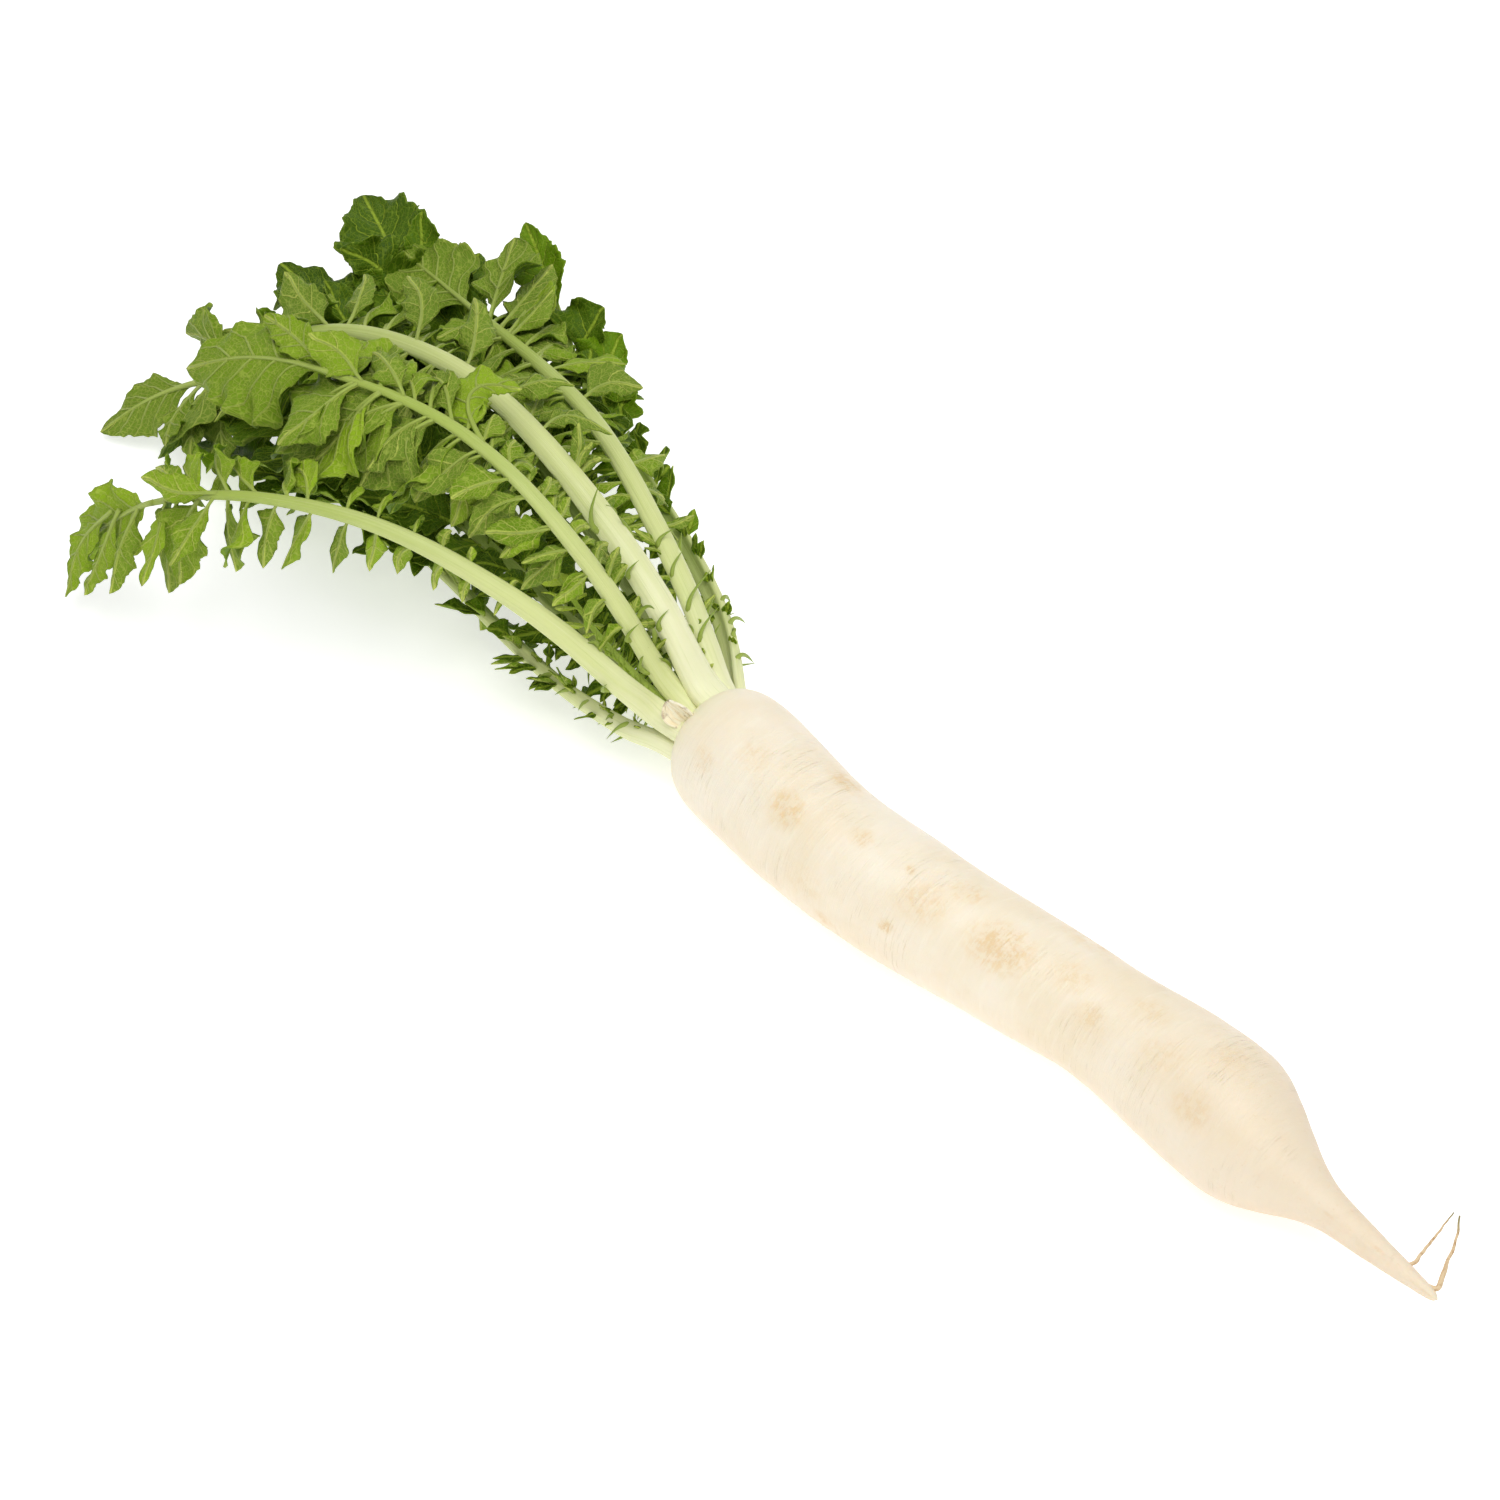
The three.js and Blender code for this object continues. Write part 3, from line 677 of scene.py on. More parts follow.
# angle, out: where the foot is round the crown's middle, in degrees and in millimetres from it
# turn: which way the groove faces at the foot and at the end, in degrees round the route
# width: the stalk's width at each share in WIDTH_AT
# pairs, first: how many pairs of leaflets there are, and the share of the route they begin at
# leaflet, end: the longest leaflet's length, and the end leaf's length and half width
FRONDS = [
    dict(name="frond_top", seed=11, angle=17, out=15, turn=(205, 150), width=(15.4, 15.6, 10.8, 3.6),
         route=[(-50, 8, 48), (-76, 9, 73), (-103, 10, 91), (-148, 13, 108), (-192, 15, 116),
                (-230, 13, 116), (-274, 8, 106), (-315, 2, 85), (-348, -7, 58), (-371, -23, 33)],
         pairs=15, first=0.26, leaflet=55, droop=0.8, end=(58, 22)),
    dict(name="frond_near", seed=23, angle=-54, out=15, turn=(130, 122), width=(13, 13, 9.6, 3.2),
         route=[(-54, -14, 42), (-66, -24, 57), (-89, -37, 79), (-113, -51, 97), (-148, -67, 110),
                (-180, -82, 114), (-216, -98, 109), (-250, -110, 95), (-276, -116, 77)],
         pairs=12, first=0.34, leaflet=42, droop=0.9, end=(70, 28)),
    dict(name="frond_high", seed=37, angle=-12, out=6, turn=(170, 152), width=(12, 11, 8.4, 3),
         route=[(-60, -4, 51), (-80, -11, 83), (-99, -18, 109), (-129, -25, 133), (-162, -31, 144),
                (-194, -40, 148), (-229, -49, 144)],
         pairs=13, first=0.24, leaflet=54, droop=0.8, end=(84, 33)),
    dict(name="frond_far", seed=41, angle=80, out=15, turn=(250, 150), width=(12.5, 12.4, 9.4, 3.4),
         route=[(-50, 19, 40), (-79, 28, 62), (-109, 37, 76), (-149, 50, 84), (-185, 60, 86),
                (-219, 67, 83), (-258, 76, 74), (-299, 86, 62)],
         pairs=13, first=0.22, leaflet=56, droop=0.7, end=(74, 28)),
    dict(name="frond_side", seed=62, angle=116, out=15, turn=(295, 340), width=(12, 10.2, 8, 3),
         route=[(-52, 29.5, 28), (-77, 47.5, 28), (-104, 62, 29), (-138, 75.5, 30), (-177, 89, 30),
                (-222, 103, 31), (-253, 111, 40), (-275, 119, 55)],
         pairs=12, first=0.16, leaflet=34, droop=0.3, end=(56, 22)),
    dict(name="frond_low", seed=67, angle=-108, out=15, turn=(72, 15), width=(12.5, 10.8, 8.2, 3),
         route=[(-52, -14, 26), (-73, -19, 25), (-109, -22, 25), (-154, -20, 26), (-192, -17, 28),
                (-232, -17, 30), (-274, -22, 28), (-306, -28, 24)],
         pairs=11, first=0.22, leaflet=42, droop=0.3, end=(60, 22)),
    dict(name="frond_young", seed=71, angle=-90, out=7, turn=(190, 200), width=(5.2, 4.8, 3.6, 2),
         route=[(-64, -7, 42), (-83, -9, 49), (-99, -8, 52), (-116, -4, 53), (-132, 0, 54)],
         pairs=8, first=0.3, leaflet=16, droop=0.3, end=(22, 8)),
    dict(name="frond_under", seed=83, angle=158, out=15, turn=(336, 340), width=(12, 9.8, 7.6, 3),
         route=[(-60, 21, 20), (-107, 37, 15), (-165, 54, 15), (-225, 68, 19), (-284, 79, 25),
                (-337, 85, 34), (-356, 90, 43)],
         pairs=12, first=0.32, leaflet=54, droop=0.2, end=(68, 29)),
    dict(name="frond_back", seed=89, angle=-158, out=14, turn=(18, 5), width=(10.5, 9, 7, 3),
         route=[(-74, 4, 15), (-122, 14, 13), (-183, 29, 16), (-240, 42, 24), (-290, 48, 33),
                (-330, 49, 40)],
         pairs=11, first=0.34, leaflet=52, droop=0.2, end=(76, 30)),
    dict(name="frond_inner", seed=97, angle=180, out=6, turn=(10, -20), width=(9, 8.8, 6.8, 3),
         route=[(-74, 1, 27), (-122, 0, 34), (-183, 0, 42), (-240, -3, 47), (-290, -12, 46)],
         pairs=12, first=0.3, leaflet=50, droop=0.4, end=(66, 25)),
]


def tell_fronds(names, rows):
    """Adds more named values to the fronds, from one row for each."""
    for frond, row in zip(FRONDS, rows):
        frond.update(zip(names.split(), row))


# %% Stalks and their routes


def half_width_at(frond, shares):
    """Half the width of a stalk at shares of its length."""
    rows = list(zip(WIDTH_AT, frond["width"]))
    stations, row_of = np.unique(shares, return_inverse=True)
    return np.array([read_at(rows, share)[0] for share in stations])[row_of] / 2


def stalk_round(frond, angles, shares):
    """How far a stalk's skin is to the side and to the face, round its middle."""
    half = half_width_at(frond, shares)
    depth = FOOT_DEPTH + (STALK_DEPTH - FOOT_DEPTH) * np.minimum(1, shares / WIDTH_AT[1])
    groove = GROOVE_DEPTH * np.maximum(0, np.cos(angles)) ** 4
    return half * np.sin(angles), half * depth * (np.cos(angles) - groove)


def frond_route(frond):
    """The middle line of a stalk, from inside the crown to the foot of its end leaf."""
    angle = math.radians(frond["angle"])
    foot = (STALK_FOOT, CROWN_MIDDLE[0] + frond["out"] * math.sin(angle),
            CROWN_MIDDLE[1] + frond["out"] * math.cos(angle))
    return Route([foot] + frond["route"], frond["turn"])


# %% Sizes of the leaflets
# Lengths are shares of the frond's largest leaflet, and half widths of the leaflet's own length.
LAST_PLACE, PLACE_SPREAD = 0.96, 0.22
FIRST_LENGTH, LENGTH_SPREAD = 0.17, 0.14
FIRST_HALF, LAST_HALF, HALF_SPREAD = 0.14, 0.33, 0.03
FIRST_SLANT, LAST_SLANT, SLANT_SPREAD = 68, 44, 9
LIFT, LIFT_SPREAD = 18, 16
ROLL, ROLL_SPREAD = 14, 24
TWIST_SPREAD, END_TWIST_SPREAD = 50, 25
DROOP_SPREAD, END_DROOP = 0.3, 0.8
SWAY, SWAY_SPREAD = -0.1, 0.45
END_LEAF_SINK = 2
BLADE_ROOT = (0.35, 0.05)

NARROW = 0.14
OPENS_AT = 0.1
OPENS_OVER = 0.38
TIP_FULLNESS = 3.4
TIP_BLUNTNESS = 0.7
TEETH_START = 0.16
TOOTH_DEPTH = 0.22
TOOTH_PEAK = 0.7
TOOTH_PITCH = 14
FEWEST_TEETH, MOST_TEETH = 1, 4
CUP = 0.22
RUFFLE = 0.2
RUFFLE_WAVES = 1.6

# %% Drawing the leaflets


def grow_blades(frond, route, first_length=FIRST_LENGTH):
    """A frond's leaflets in pairs and its end leaf, as they would grow in open air."""
    draws = Draws(frond["seed"])
    blades = []
    for pair in range(frond["pairs"]):
        rank = (pair + 0.5) / frond["pairs"]
        for hand in (1, -1):
            shuffled = rank + draws.spread(PLACE_SPREAD) / frond["pairs"]
            place = frond["first"] + (LAST_PLACE - frond["first"]) * shuffled
            length = frond["leaflet"] * (first_length + (1 - first_length) * rank)
            length *= 1 + draws.spread(LENGTH_SPREAD)
            half = length * (FIRST_HALF + (LAST_HALF - FIRST_HALF) * rank + draws.spread(HALF_SPREAD))
            slant = FIRST_SLANT + (LAST_SLANT - FIRST_SLANT) * rank + draws.spread(SLANT_SPREAD)
            lift = math.radians(LIFT + draws.spread(LIFT_SPREAD))
            roll = math.radians(ROLL + draws.spread(ROLL_SPREAD)) * hand
            twist = math.radians(draws.spread(TWIST_SPREAD))
            droop = frond["droop"] * (1 + draws.spread(DROOP_SPREAD))
            sway = SWAY + draws.spread(SWAY_SPREAD)
            phase = draws.next() * TURN
            point, along, face, side = (row[0] for row in route.at([place]))
            width = half_width_at(frond, [place])[0]
            foot = point + side * (hand * BLADE_ROOT[0] * width) + face * (BLADE_ROOT[1] * width)
            blades.append(dict(
                hand=hand, foot=foot, along=along, face=face, side=side, length=length, half=half,
                slant=math.radians(slant), lift=lift, roll=roll, twist=twist, droop=droop, sway=sway,
                phase=phase))
    point, along, face, side = (row[0] for row in route.at([1.0]))
    length, half = frond["end"]
    twist = math.radians(draws.spread(END_TWIST_SPREAD))
    blades.append(dict(
        hand=0, foot=point - along * END_LEAF_SINK, along=along, face=face, side=side, length=length,
        half=half, slant=0, lift=0, roll=0, twist=twist, droop=frond["droop"] * END_DROOP, sway=0,
        phase=draws.next() * TURN))
    return blades


# %% Bending a leaflet


def bend_blade(blade, more_droop, more_lift, size):
    """The blade as it settles: its lead leaves the rib, and its weight and sway bend it on."""
    hand, slant, roll = blade["hand"], blade["slant"], blade["roll"]
    lift = blade["lift"] + more_lift
    aside = blade["side"] * (hand * math.cos(lift)) + blade["face"] * (abs(hand) * math.sin(lift))
    lead = blade["along"] * math.cos(slant) + aside * math.sin(slant)
    lead = unit(lead + blade["face"] * (more_lift if hand == 0 else 0))
    bend = np.array([0, 0, -1]) * max(0, blade["droop"] + more_droop) + blade["along"] * blade["sway"]
    length = blade["length"] * size
    teeth = max(FEWEST_TEETH, min(MOST_TEETH, math.floor(length / TOOTH_PITCH + 0.5))) + (hand == 0)
    face = blade["face"] * math.cos(roll) - blade["along"] * (math.sin(roll) * hand)
    half = blade["half"] * size
    return dict(blade, lead=lead, bend=bend, face=face, length=length, half=half, teeth=teeth)


def blade_frame(blade, shares):
    """The blade's middle line at shares of its length, with the ways aside and off its face."""
    shares = shares[:, None]
    along = unit(blade["lead"] + blade["bend"] * shares)
    normal = unit(blade["face"] - along * (along @ blade["face"])[:, None])
    side = np.cross(along, normal)
    lean = blade["twist"] * shares
    middle = blade["foot"] + blade["lead"] * blade["length"] * shares
    middle = middle + blade["bend"] * blade["length"] * shares ** 2 / 2
    aside = side * np.cos(lean) + normal * np.sin(lean)
    raised = normal * np.cos(lean) - side * np.sin(lean)
    return middle, aside, raised


def outline(shares, narrow):
    """Half the width of a blade, as a share of its greatest half width."""
    opened = np.clip((shares - OPENS_AT) / OPENS_OVER, 0, 1)
    spread = narrow + (1 - narrow) * opened ** 2 * (3 - 2 * opened)
    return spread * (1 - shares ** TIP_FULLNESS) ** TIP_BLUNTNESS


def solid_points(blade, shares, across):
    """Points of the plain solid's blade."""
    middle, aside, raised = blade_frame(blade, shares)
    phase = (shares - TEETH_START) / (1 - TEETH_START) * blade["teeth"] % 1
    rise = np.where(phase < TOOTH_PEAK, phase / TOOTH_PEAK, (1 - phase) / (1 - TOOTH_PEAK))
    tooth = 1 - TOOTH_DEPTH * np.where(shares <= TEETH_START, 1, 1 - rise)
    reach = blade["half"] * outline(shares, NARROW) * tooth
    wave = RUFFLE * np.sin(TURN * RUFFLE_WAVES * shares + blade["phase"] * np.sign(across))
    height = reach * (CUP + wave) * across ** 2
    return middle + aside * (reach * across)[:, None] + raised * height[:, None]


# %% [markdown]
# ## Room for every leaf
#
# Fronds that grow in a crowd make way for each other. A leaflet that would pass through a
# neighbouring frond is bent clear: it tries a little more or less droop and lift, and then a
# smaller size, and takes the first that fits. The large end leaves choose before the leaflets.

# %% What stands in the way
SAMPLE_STEP = 3.2
STALK_SAMPLES_ROUND = 8


def blade_samples(blade):
    """Points spread over a blade, from a little way off its foot."""
    rows = math.ceil(blade["length"] / SAMPLE_STEP)
    columns = math.ceil(2 * blade["half"] / SAMPLE_STEP)
    i, j = np.meshgrid(np.arange(2, rows + 1), np.arange(columns + 1), indexing="ij")
    return solid_points(blade, i.ravel() / rows, 2 * j.ravel() / columns - 1)


def stalk_samples(frond, route):
    """Points spread over a stalk."""
    steps = math.ceil(route.length / SAMPLE_STEP)
    i, j = np.meshgrid(np.arange(steps + 1), np.arange(STALK_SAMPLES_ROUND), indexing="ij")
    shares, angles = i.ravel() / steps, j.ravel() * TURN / STALK_SAMPLES_ROUND
    middle, along, face, side = route.at(shares)
    aside, off = stalk_round(frond, angles, shares)
    return middle + side * aside[:, None] + face * off[:, None]


# %% Placing the leaflets
CLEARANCE = 3.3
FLOOR_CLEARANCE = 0.9
BENDS = [
    # more droop, more lift, size
    (0, 0, 1), (0.25, 0, 1), (-0.25, 0, 1), (0, 0.3, 1), (0, -0.3, 1), (0.5, 0.2, 1), (-0.5, -0.2, 1),
    (0.5, -0.4, 1), (-0.5, 0.4, 1), (0, 0.6, 0.9), (0, -0.6, 0.9), (0.8, 0, 0.85), (-0.8, 0, 0.85),
    (0, 0.9, 0.75), (0, -0.9, 0.75), (0.3, 0.2, 0.6), (-0.3, -0.2, 0.6), (0, 0, 0.45),
]


def place_blades(own, others, blades):
    """Keeps each blade in the first bend that leaves room to the other fronds."""
    crowd = np.vstack([points for other in others for points in other["samples"]])
    tree = KDTree(len(crowd))
    for number, point in enumerate(crowd):
        tree.insert(point, number)
    tree.balance()
    for blade in blades:
        for bend in BENDS:
            bent = bend_blade(blade, *bend)
            samples = blade_samples(bent)
            if samples[:, 2].min() < FLOOR_CLEARANCE:
                continue
            if any(tree.find(point)[2] < CLEARANCE for point in samples):
                continue
            own["placed"].append(bent)
            own["samples"].append(samples)
            break


# %% Grow all the fronds
grown = []
for frond in FRONDS:
    route = frond_route(frond)
    grown.append(dict(
        frond=frond, route=route, blades=grow_blades(frond, route), placed=[],
        samples=[stalk_samples(frond, route)]))
for own in grown:
    place_blades(own, [other for other in grown if other is not own], own["blades"][-1:])
for own in grown:
    place_blades(own, [other for other in grown if other is not own], own["blades"][:-1])
for own in grown:
    print(own["frond"]["name"], round(own["route"].length), "mm long,", len(own["placed"]), "of",
          len(own["blades"]), "leaflets found room")

# %% [markdown]
# ## The stalks
#
# A frond's stalk is a juicy half-pipe: rounded behind, with a groove along its inner side, and
# with fine raised threads along its length. It's widest and whitest where it leaves the crown,
# and it thins and greens towards the leaf at its end, where it has become the leaf's rib.
# It is rolled from a flat grid: one way of the grid runs round the stalk, and the other along.
# A round bevel couldn't have the groove, and sculpted threads couldn't be changed by a number.

# %% Stalk meshes
STALK_ROUND_SIDES = 36
STALK_ROW = 2.4
THREADS = 13
THREAD_HEIGHT = 0.013
THREAD_TURN, THREAD_TURN_LENGTH = 1.5, 60
WANDER, WANDER_LENGTH = 0.03, 30
FLARE_LENGTH = 26

# how much wider at the crown, how thick all along, and how much greener than most
tell_fronds("flare slim green", [
    (0.42, 0.95, 0.0),  # top
    (0.16, 0.86, 0.09),  # near
    (0.22, 0.92, 0.12),  # high
    (0.3, 1.05, 0.06),  # far
    (0.08, 1.05, 0.08),  # side
    (0.08, 1.1, 0.06),  # low
    (0, 1, 0),  # young
    (0.05, 0.95, 0.1),  # under
    (0.05, 0.95, 0.1),  # back
    (0, 0.95, 0.15),  # inner
])


def stalk_tube(bm, grown_frond, layers):
    """Rolls one frond's stalk, with its flare at the crown and its lengthwise threads."""
    frond, route = grown_frond["frond"], grown_frond["route"]

    def round_at(angles, shares):
        middle, along, face, side = route.at(shares)
        aside, off = stalk_round(frond, angles, shares)
        walked = shares * route.length
        turning = THREAD_TURN * np.sin(walked / THREAD_TURN_LENGTH + frond["seed"])
        threads = 1 + THREAD_HEIGHT * np.sin(THREADS * angles + turning)
        wander = np.array([noise.noise(Vector((mm / WANDER_LENGTH, frond["seed"], 0))) for mm in walked])
        flare = frond["flare"] * np.exp(-(walked / FLARE_LENGTH) ** 2)
        swell = threads * (frond["slim"] + flare + WANDER * wander)
        return middle + side * (aside * swell)[:, None] + face * (off * swell)[:, None]

    def store(verts, angles, shares):
        for vert, angle, share in zip(verts, angles, shares):
            vert[layers["round"]] = (math.sin(angle), math.cos(angle), share * route.length)
            vert[layers["run"]] = (share, frond["green"], 0)

    steps = math.ceil(route.length / STALK_ROW)
    roll_tube(bm, STALK_ROUND_SIDES, steps, round_at, store)


# %% [markdown]
# ## The leaflets
#
# A leaflet is a thin sheet that is folded along its rib, cupped, and ruffled at its edge. Its
# outline has shallow round lobes with small teeth on them that point to the tip. Between the
# side veins the sheet bulges up a little. Each leaflet is a flat grid: its columns spread to
# both sides of the rib, and every fourth row ends in a tooth. Solidify then gives it thickness.
# A cut-out picture of a leaf would be lighter, but it would be flat where light grazes it.

# %% What makes each leaflet different
TOOTH_ROWS = 4
SMALL_TOOTH_PITCH, LEAST_SMALL_TEETH = 4.6, 3
LEAF_COLUMN = 2.3
LEAST_COLUMNS, MOST_COLUMNS = 6, 22
LOBES = 9
END_LOBES = 0.5
LOBE_LEAST, LOBE_SPREAD = 0.35, 1.1
SHIFT_SPREAD = 0.22
FRILL, FRILL_LEAST, FRILL_SPREAD = 0.24, 0.6, 0.8
CUP_SPREAD = 0.28
UNEVEN_SPREAD, END_UNEVEN = 0.32, 0.4
SWAY_ASIDE, END_SWAY_ASIDE = 0.13, 0.2
DULL_SPREAD = 0.35

# how broad the leaflets and the end leaf are, how much they taper, and how deep their lobes are
tell_fronds("breadth end_breadth pointed lobed", [
    (1.3, 0.85, 0.3, 0.16),  # top
    (1.4, 0.72, 0.3, 0.14),  # near
    (1.35, 0.9, 0.15, 0.14),  # high
    (1.4, 0.95, 0.35, 0.18),  # far
    (1.6, 0.66, 0.5, 0.26),  # side
    (1.5, 0.95, 0.4, 0.2),  # low
    (0.5, 1, 0, 0.2),  # young
    (1.4, 0.9, 0.55, 0.26),  # under
    (1.4, 0.95, 0.5, 0.24),  # back
    (1.5, 1, 0.3, 0.2),  # inner
])
# how light the leaflets are, with the fronds that lie underneath and inside darker as painted shade, how
# much lighter the end leaf is, and how greyish they are
tell_fronds("tone end_light dull", [
    (0.4, 1, 0.7),  # top
    (0.7, 1.2, 0.3),  # near
    (0.65, 1, 0.45),  # high
    (0.35, 1, 0.5),  # far
    (0.75, 1.9, 0.35),  # side
    (0.5, 1, 0.2),  # low
    (1.0, 1.2, 0),  # young
    (0.15, 1, 0.4),  # under
    (0.1, 1, 0.4),  # back
    (0.2, 1, 0.35),  # inner
])


def dress_blade(blade, frond, number):
    """Adds what makes this leaflet unlike the others: uneven lobes, halves, frills and tone, with painted
    shade.
    """
    draws = Draws(frond["seed"] * 1000 + number)
    draws.next()
    ending = blade["hand"] == 0
    half = blade["half"] * frond["end_breadth" if ending else "breadth"]
    depth = frond["lobed"] * (END_LOBES if ending else 1)
    uneven = draws.spread(UNEVEN_SPREAD) * (END_UNEVEN if ending else 1)
    teeth_rows = max(LEAST_SMALL_TEETH, round(blade["length"] / SMALL_TOOTH_PITCH))
    # light darkens the leaflets between the pairs and in the nest: painted shade
    light = frond["end_light"] if ending else blade.get("light", 1)
    return dict(
        blade, half=half, rows=teeth_rows * TOOTH_ROWS,
        columns=2 * max(LEAST_COLUMNS // 2, min(MOST_COLUMNS // 2, round(half / LEAF_COLUMN))),
        lobes=[[depth * (LOBE_LEAST + LOBE_SPREAD * draws.next()) for lobe in range(LOBES)]
               for hand in range(2)],
        cup=CUP + draws.spread(CUP_SPREAD),
        halves=[1 + uneven, 1 - uneven],
        shift=[draws.spread(SHIFT_SPREAD), draws.spread(SHIFT_SPREAD)],
        frill=FRILL * (FRILL_LEAST + FRILL_SPREAD * draws.next()), frill_phase=draws.next() * TURN,
        sway_aside=draws.spread(SWAY_ASIDE) * (END_SWAY_ASIDE if ending else 1), number=number,
        tone=min(1, (0.5 * draws.next() + 0.5 * frond["tone"]) * light),
        pointed=frond["pointed"],
        dull=min(1, max(0, frond["dull"] + draws.spread(DULL_SPREAD))))


# %% Lobes, teeth and side veins
FINE_NARROW = 0.05
POINTED_FROM, POINTED_OVER = 0.45, 0.55
SMALL_TOOTH, SMALL_TOOTH_PEAK = 0.9, 0.75
SMALL_TOOTH_FROM, SMALL_TOOTH_OVER = 1.2, 6
VEIN_SLANT = 0.84


def lobe_run(leaf, shares, hands):
    """Which lobe a share of the length is at, counted from the leaf's foot."""
    shift = np.array(leaf["shift"])[hands]
    return (shares - TEETH_START) / (1 - TEETH_START) * leaf["teeth"] + shift


def leaf_reach(leaf, shares, across):
    """Half the width of the fine leaf in millimetres, with its lobes and small teeth."""
    hands = (across > 0).astype(int)
    run = lobe_run(leaf, shares, hands)
    phase = run % 1
    rise = np.where(phase < TOOTH_PEAK, phase / TOOTH_PEAK, (1 - phase) / (1 - TOOTH_PEAK))
    deep = np.array(leaf["lobes"])[hands, np.clip(np.floor(run), 0, LOBES - 1).astype(int)]
    lobed = 1 - deep * (1 - np.sin(rise * math.pi / 2))
    body = leaf["half"] * outline(shares, FINE_NARROW) * lobed * np.array(leaf["halves"])[hands]
    to_tip = np.clip((shares - POINTED_FROM) / POINTED_OVER, 0, 1)
    body = body * (1 - leaf["pointed"] * to_tip ** 1.5)
    step = (shares * leaf["rows"] / TOOTH_ROWS + 0.5 * hands) % 1
    peak = SMALL_TOOTH_PEAK
    small = np.where(step < peak, step / peak, (1 - step) / (1 - peak))
    room = np.clip((body - SMALL_TOOTH_FROM) / SMALL_TOOTH_OVER, 0, 1)
    return body - SMALL_TOOTH * room * (1 - small)


def vein_spacing(leaf):
    """How far apart a leaflet's side veins leave the rib, in millimetres."""
    return leaf["length"] * (1 - TEETH_START) / leaf["teeth"]


def vein_lead(leaf):
    """How far a side vein runs ahead on its way to the edge, counted in veins."""
    return VEIN_SLANT * leaf["half"] / vein_spacing(leaf)


def vein_run(leaf, shares, across):
    """Counts side veins: they leave the rib early and reach the edge at the lobes' points."""
    hands = (across > 0).astype(int)
    return lobe_run(leaf, shares, hands) - TOOTH_PEAK - vein_lead(leaf) * (np.abs(across) - 1)


# %% Leaflet sheets
FRILL_LENGTH = 15
BULGE_START, BULGE_FADE = 2.5, 0.6
PUCKER = 0.7
FOLD, FOLD_START = 0.35, 1.5
SWAY_TURN = 1.15
PATTERN_GAP = 97
TIP_GAP = 0.01
BLADE_THICKNESS = 0.5


def leaf_points(leaf, shares, across):
    """Points of the fine leaf, at shares of its length and across it from -1 to 1."""
    middle, aside, raised = blade_frame(leaf, shares)
    reach = leaf_reach(leaf, shares, across)
    hand = np.sign(across)
    wave = RUFFLE * np.sin(TURN * RUFFLE_WAVES * shares + leaf["phase"] * hand)
    ripple = np.sin(TURN * shares * leaf["length"] / FRILL_LENGTH + leaf["frill_phase"] * (2 + hand))
    height = reach * ((leaf["cup"] + wave) * across ** 2 + leaf["frill"] * ripple * np.abs(across) ** 3)
    gap = np.abs(reach * across)
    bulge = (1 - np.exp(-(gap / BULGE_START) ** 2)) * (1 - BULGE_FADE * across ** 2)
    height = height - PUCKER * bulge * np.cos(TURN * vein_run(leaf, shares, across))
    height = height + FOLD * (1 - np.exp(-gap / FOLD_START))
    swayed = np.sin(math.pi * np.minimum(1, shares * SWAY_TURN))
    sway = leaf["sway_aside"] * leaf["length"] * swayed * shares ** 0.5
    return middle + aside * (reach * across + sway)[:, None] + raised * height[:, None]


def add_leaf(bm, leaf, layers):
    """Adds one leaflet's sheet, with the places that its finish needs."""
    verts, across, shares = flat_grid(bm, leaf["columns"], leaf["rows"])
    points = leaf_points(leaf, shares, across)
    gaps = leaf_reach(leaf, shares, across) * across
    veins = vein_run(leaf, shares, across)
    put_points(verts, points)
    for vert, gap, share, vein, edge in zip(verts, gaps, shares, veins, np.abs(across)):
        vert[layers["leaf"]] = (gap, share * leaf["length"] + leaf["number"] * PATTERN_GAP, vein)
        vert[layers["tint_and_shade"]] = (leaf["tone"], edge, vein_spacing(leaf))
        vert[layers["mood"]] = (leaf["dull"], 0, 0)
    bmesh.ops.remove_doubles(bm, verts=verts, dist=TIP_GAP)


def thicken(piece, thickness):
    """Gives a sheet its thickness, half of it to each side."""
    solid = piece.modifiers.new("thickness", "SOLIDIFY")
    solid.thickness = thickness * MM
    solid.offset = 0
    return solid


# %% [markdown]
# ## Filling in
#
# Between the pairs sit smaller leaflets that stand at any angle, and close the gaps. They are
# drawn as the others are, from half a step further along the stalk, and are made darker as
# painted shade, since they lie among the others. The solids leave them out: they may cross their
# neighbours, and those that would touch the floor aren't made.

# %% Leaflets between the pairs
FILL_SIZE = 0.85
FILL_FIRST_LENGTH = 0.3
FILL_LIFT = 0.7
FILL_DROOP = 0.5
FILL_FLOOR = 4
FILL_CHECKS = np.linspace(0, 1, 8)
# painted shade: the leaflets between the pairs are made darker, as they lie among the others
FILL_PAINTED_SHADE = 0.6
FILL_SEED, FILL_BEND_SEED = 500, 900

# how long these leaflets are, with none where it is 0, and where along the stalk they begin
tell_fronds("fill fill_from", [
    (1.1, 0.22),  # top
    (0, 0.3),  # near
    (1, 0.2),  # high
    (1, 0.16),  # far
    (0.8, 0.12),  # side
    (1, 0.1),  # low
    (0, 0.3),  # young
    (1.1, 0.12),  # under
    (1.1, 0.12),  # back
    (1.2, 0.1),  # inner
])


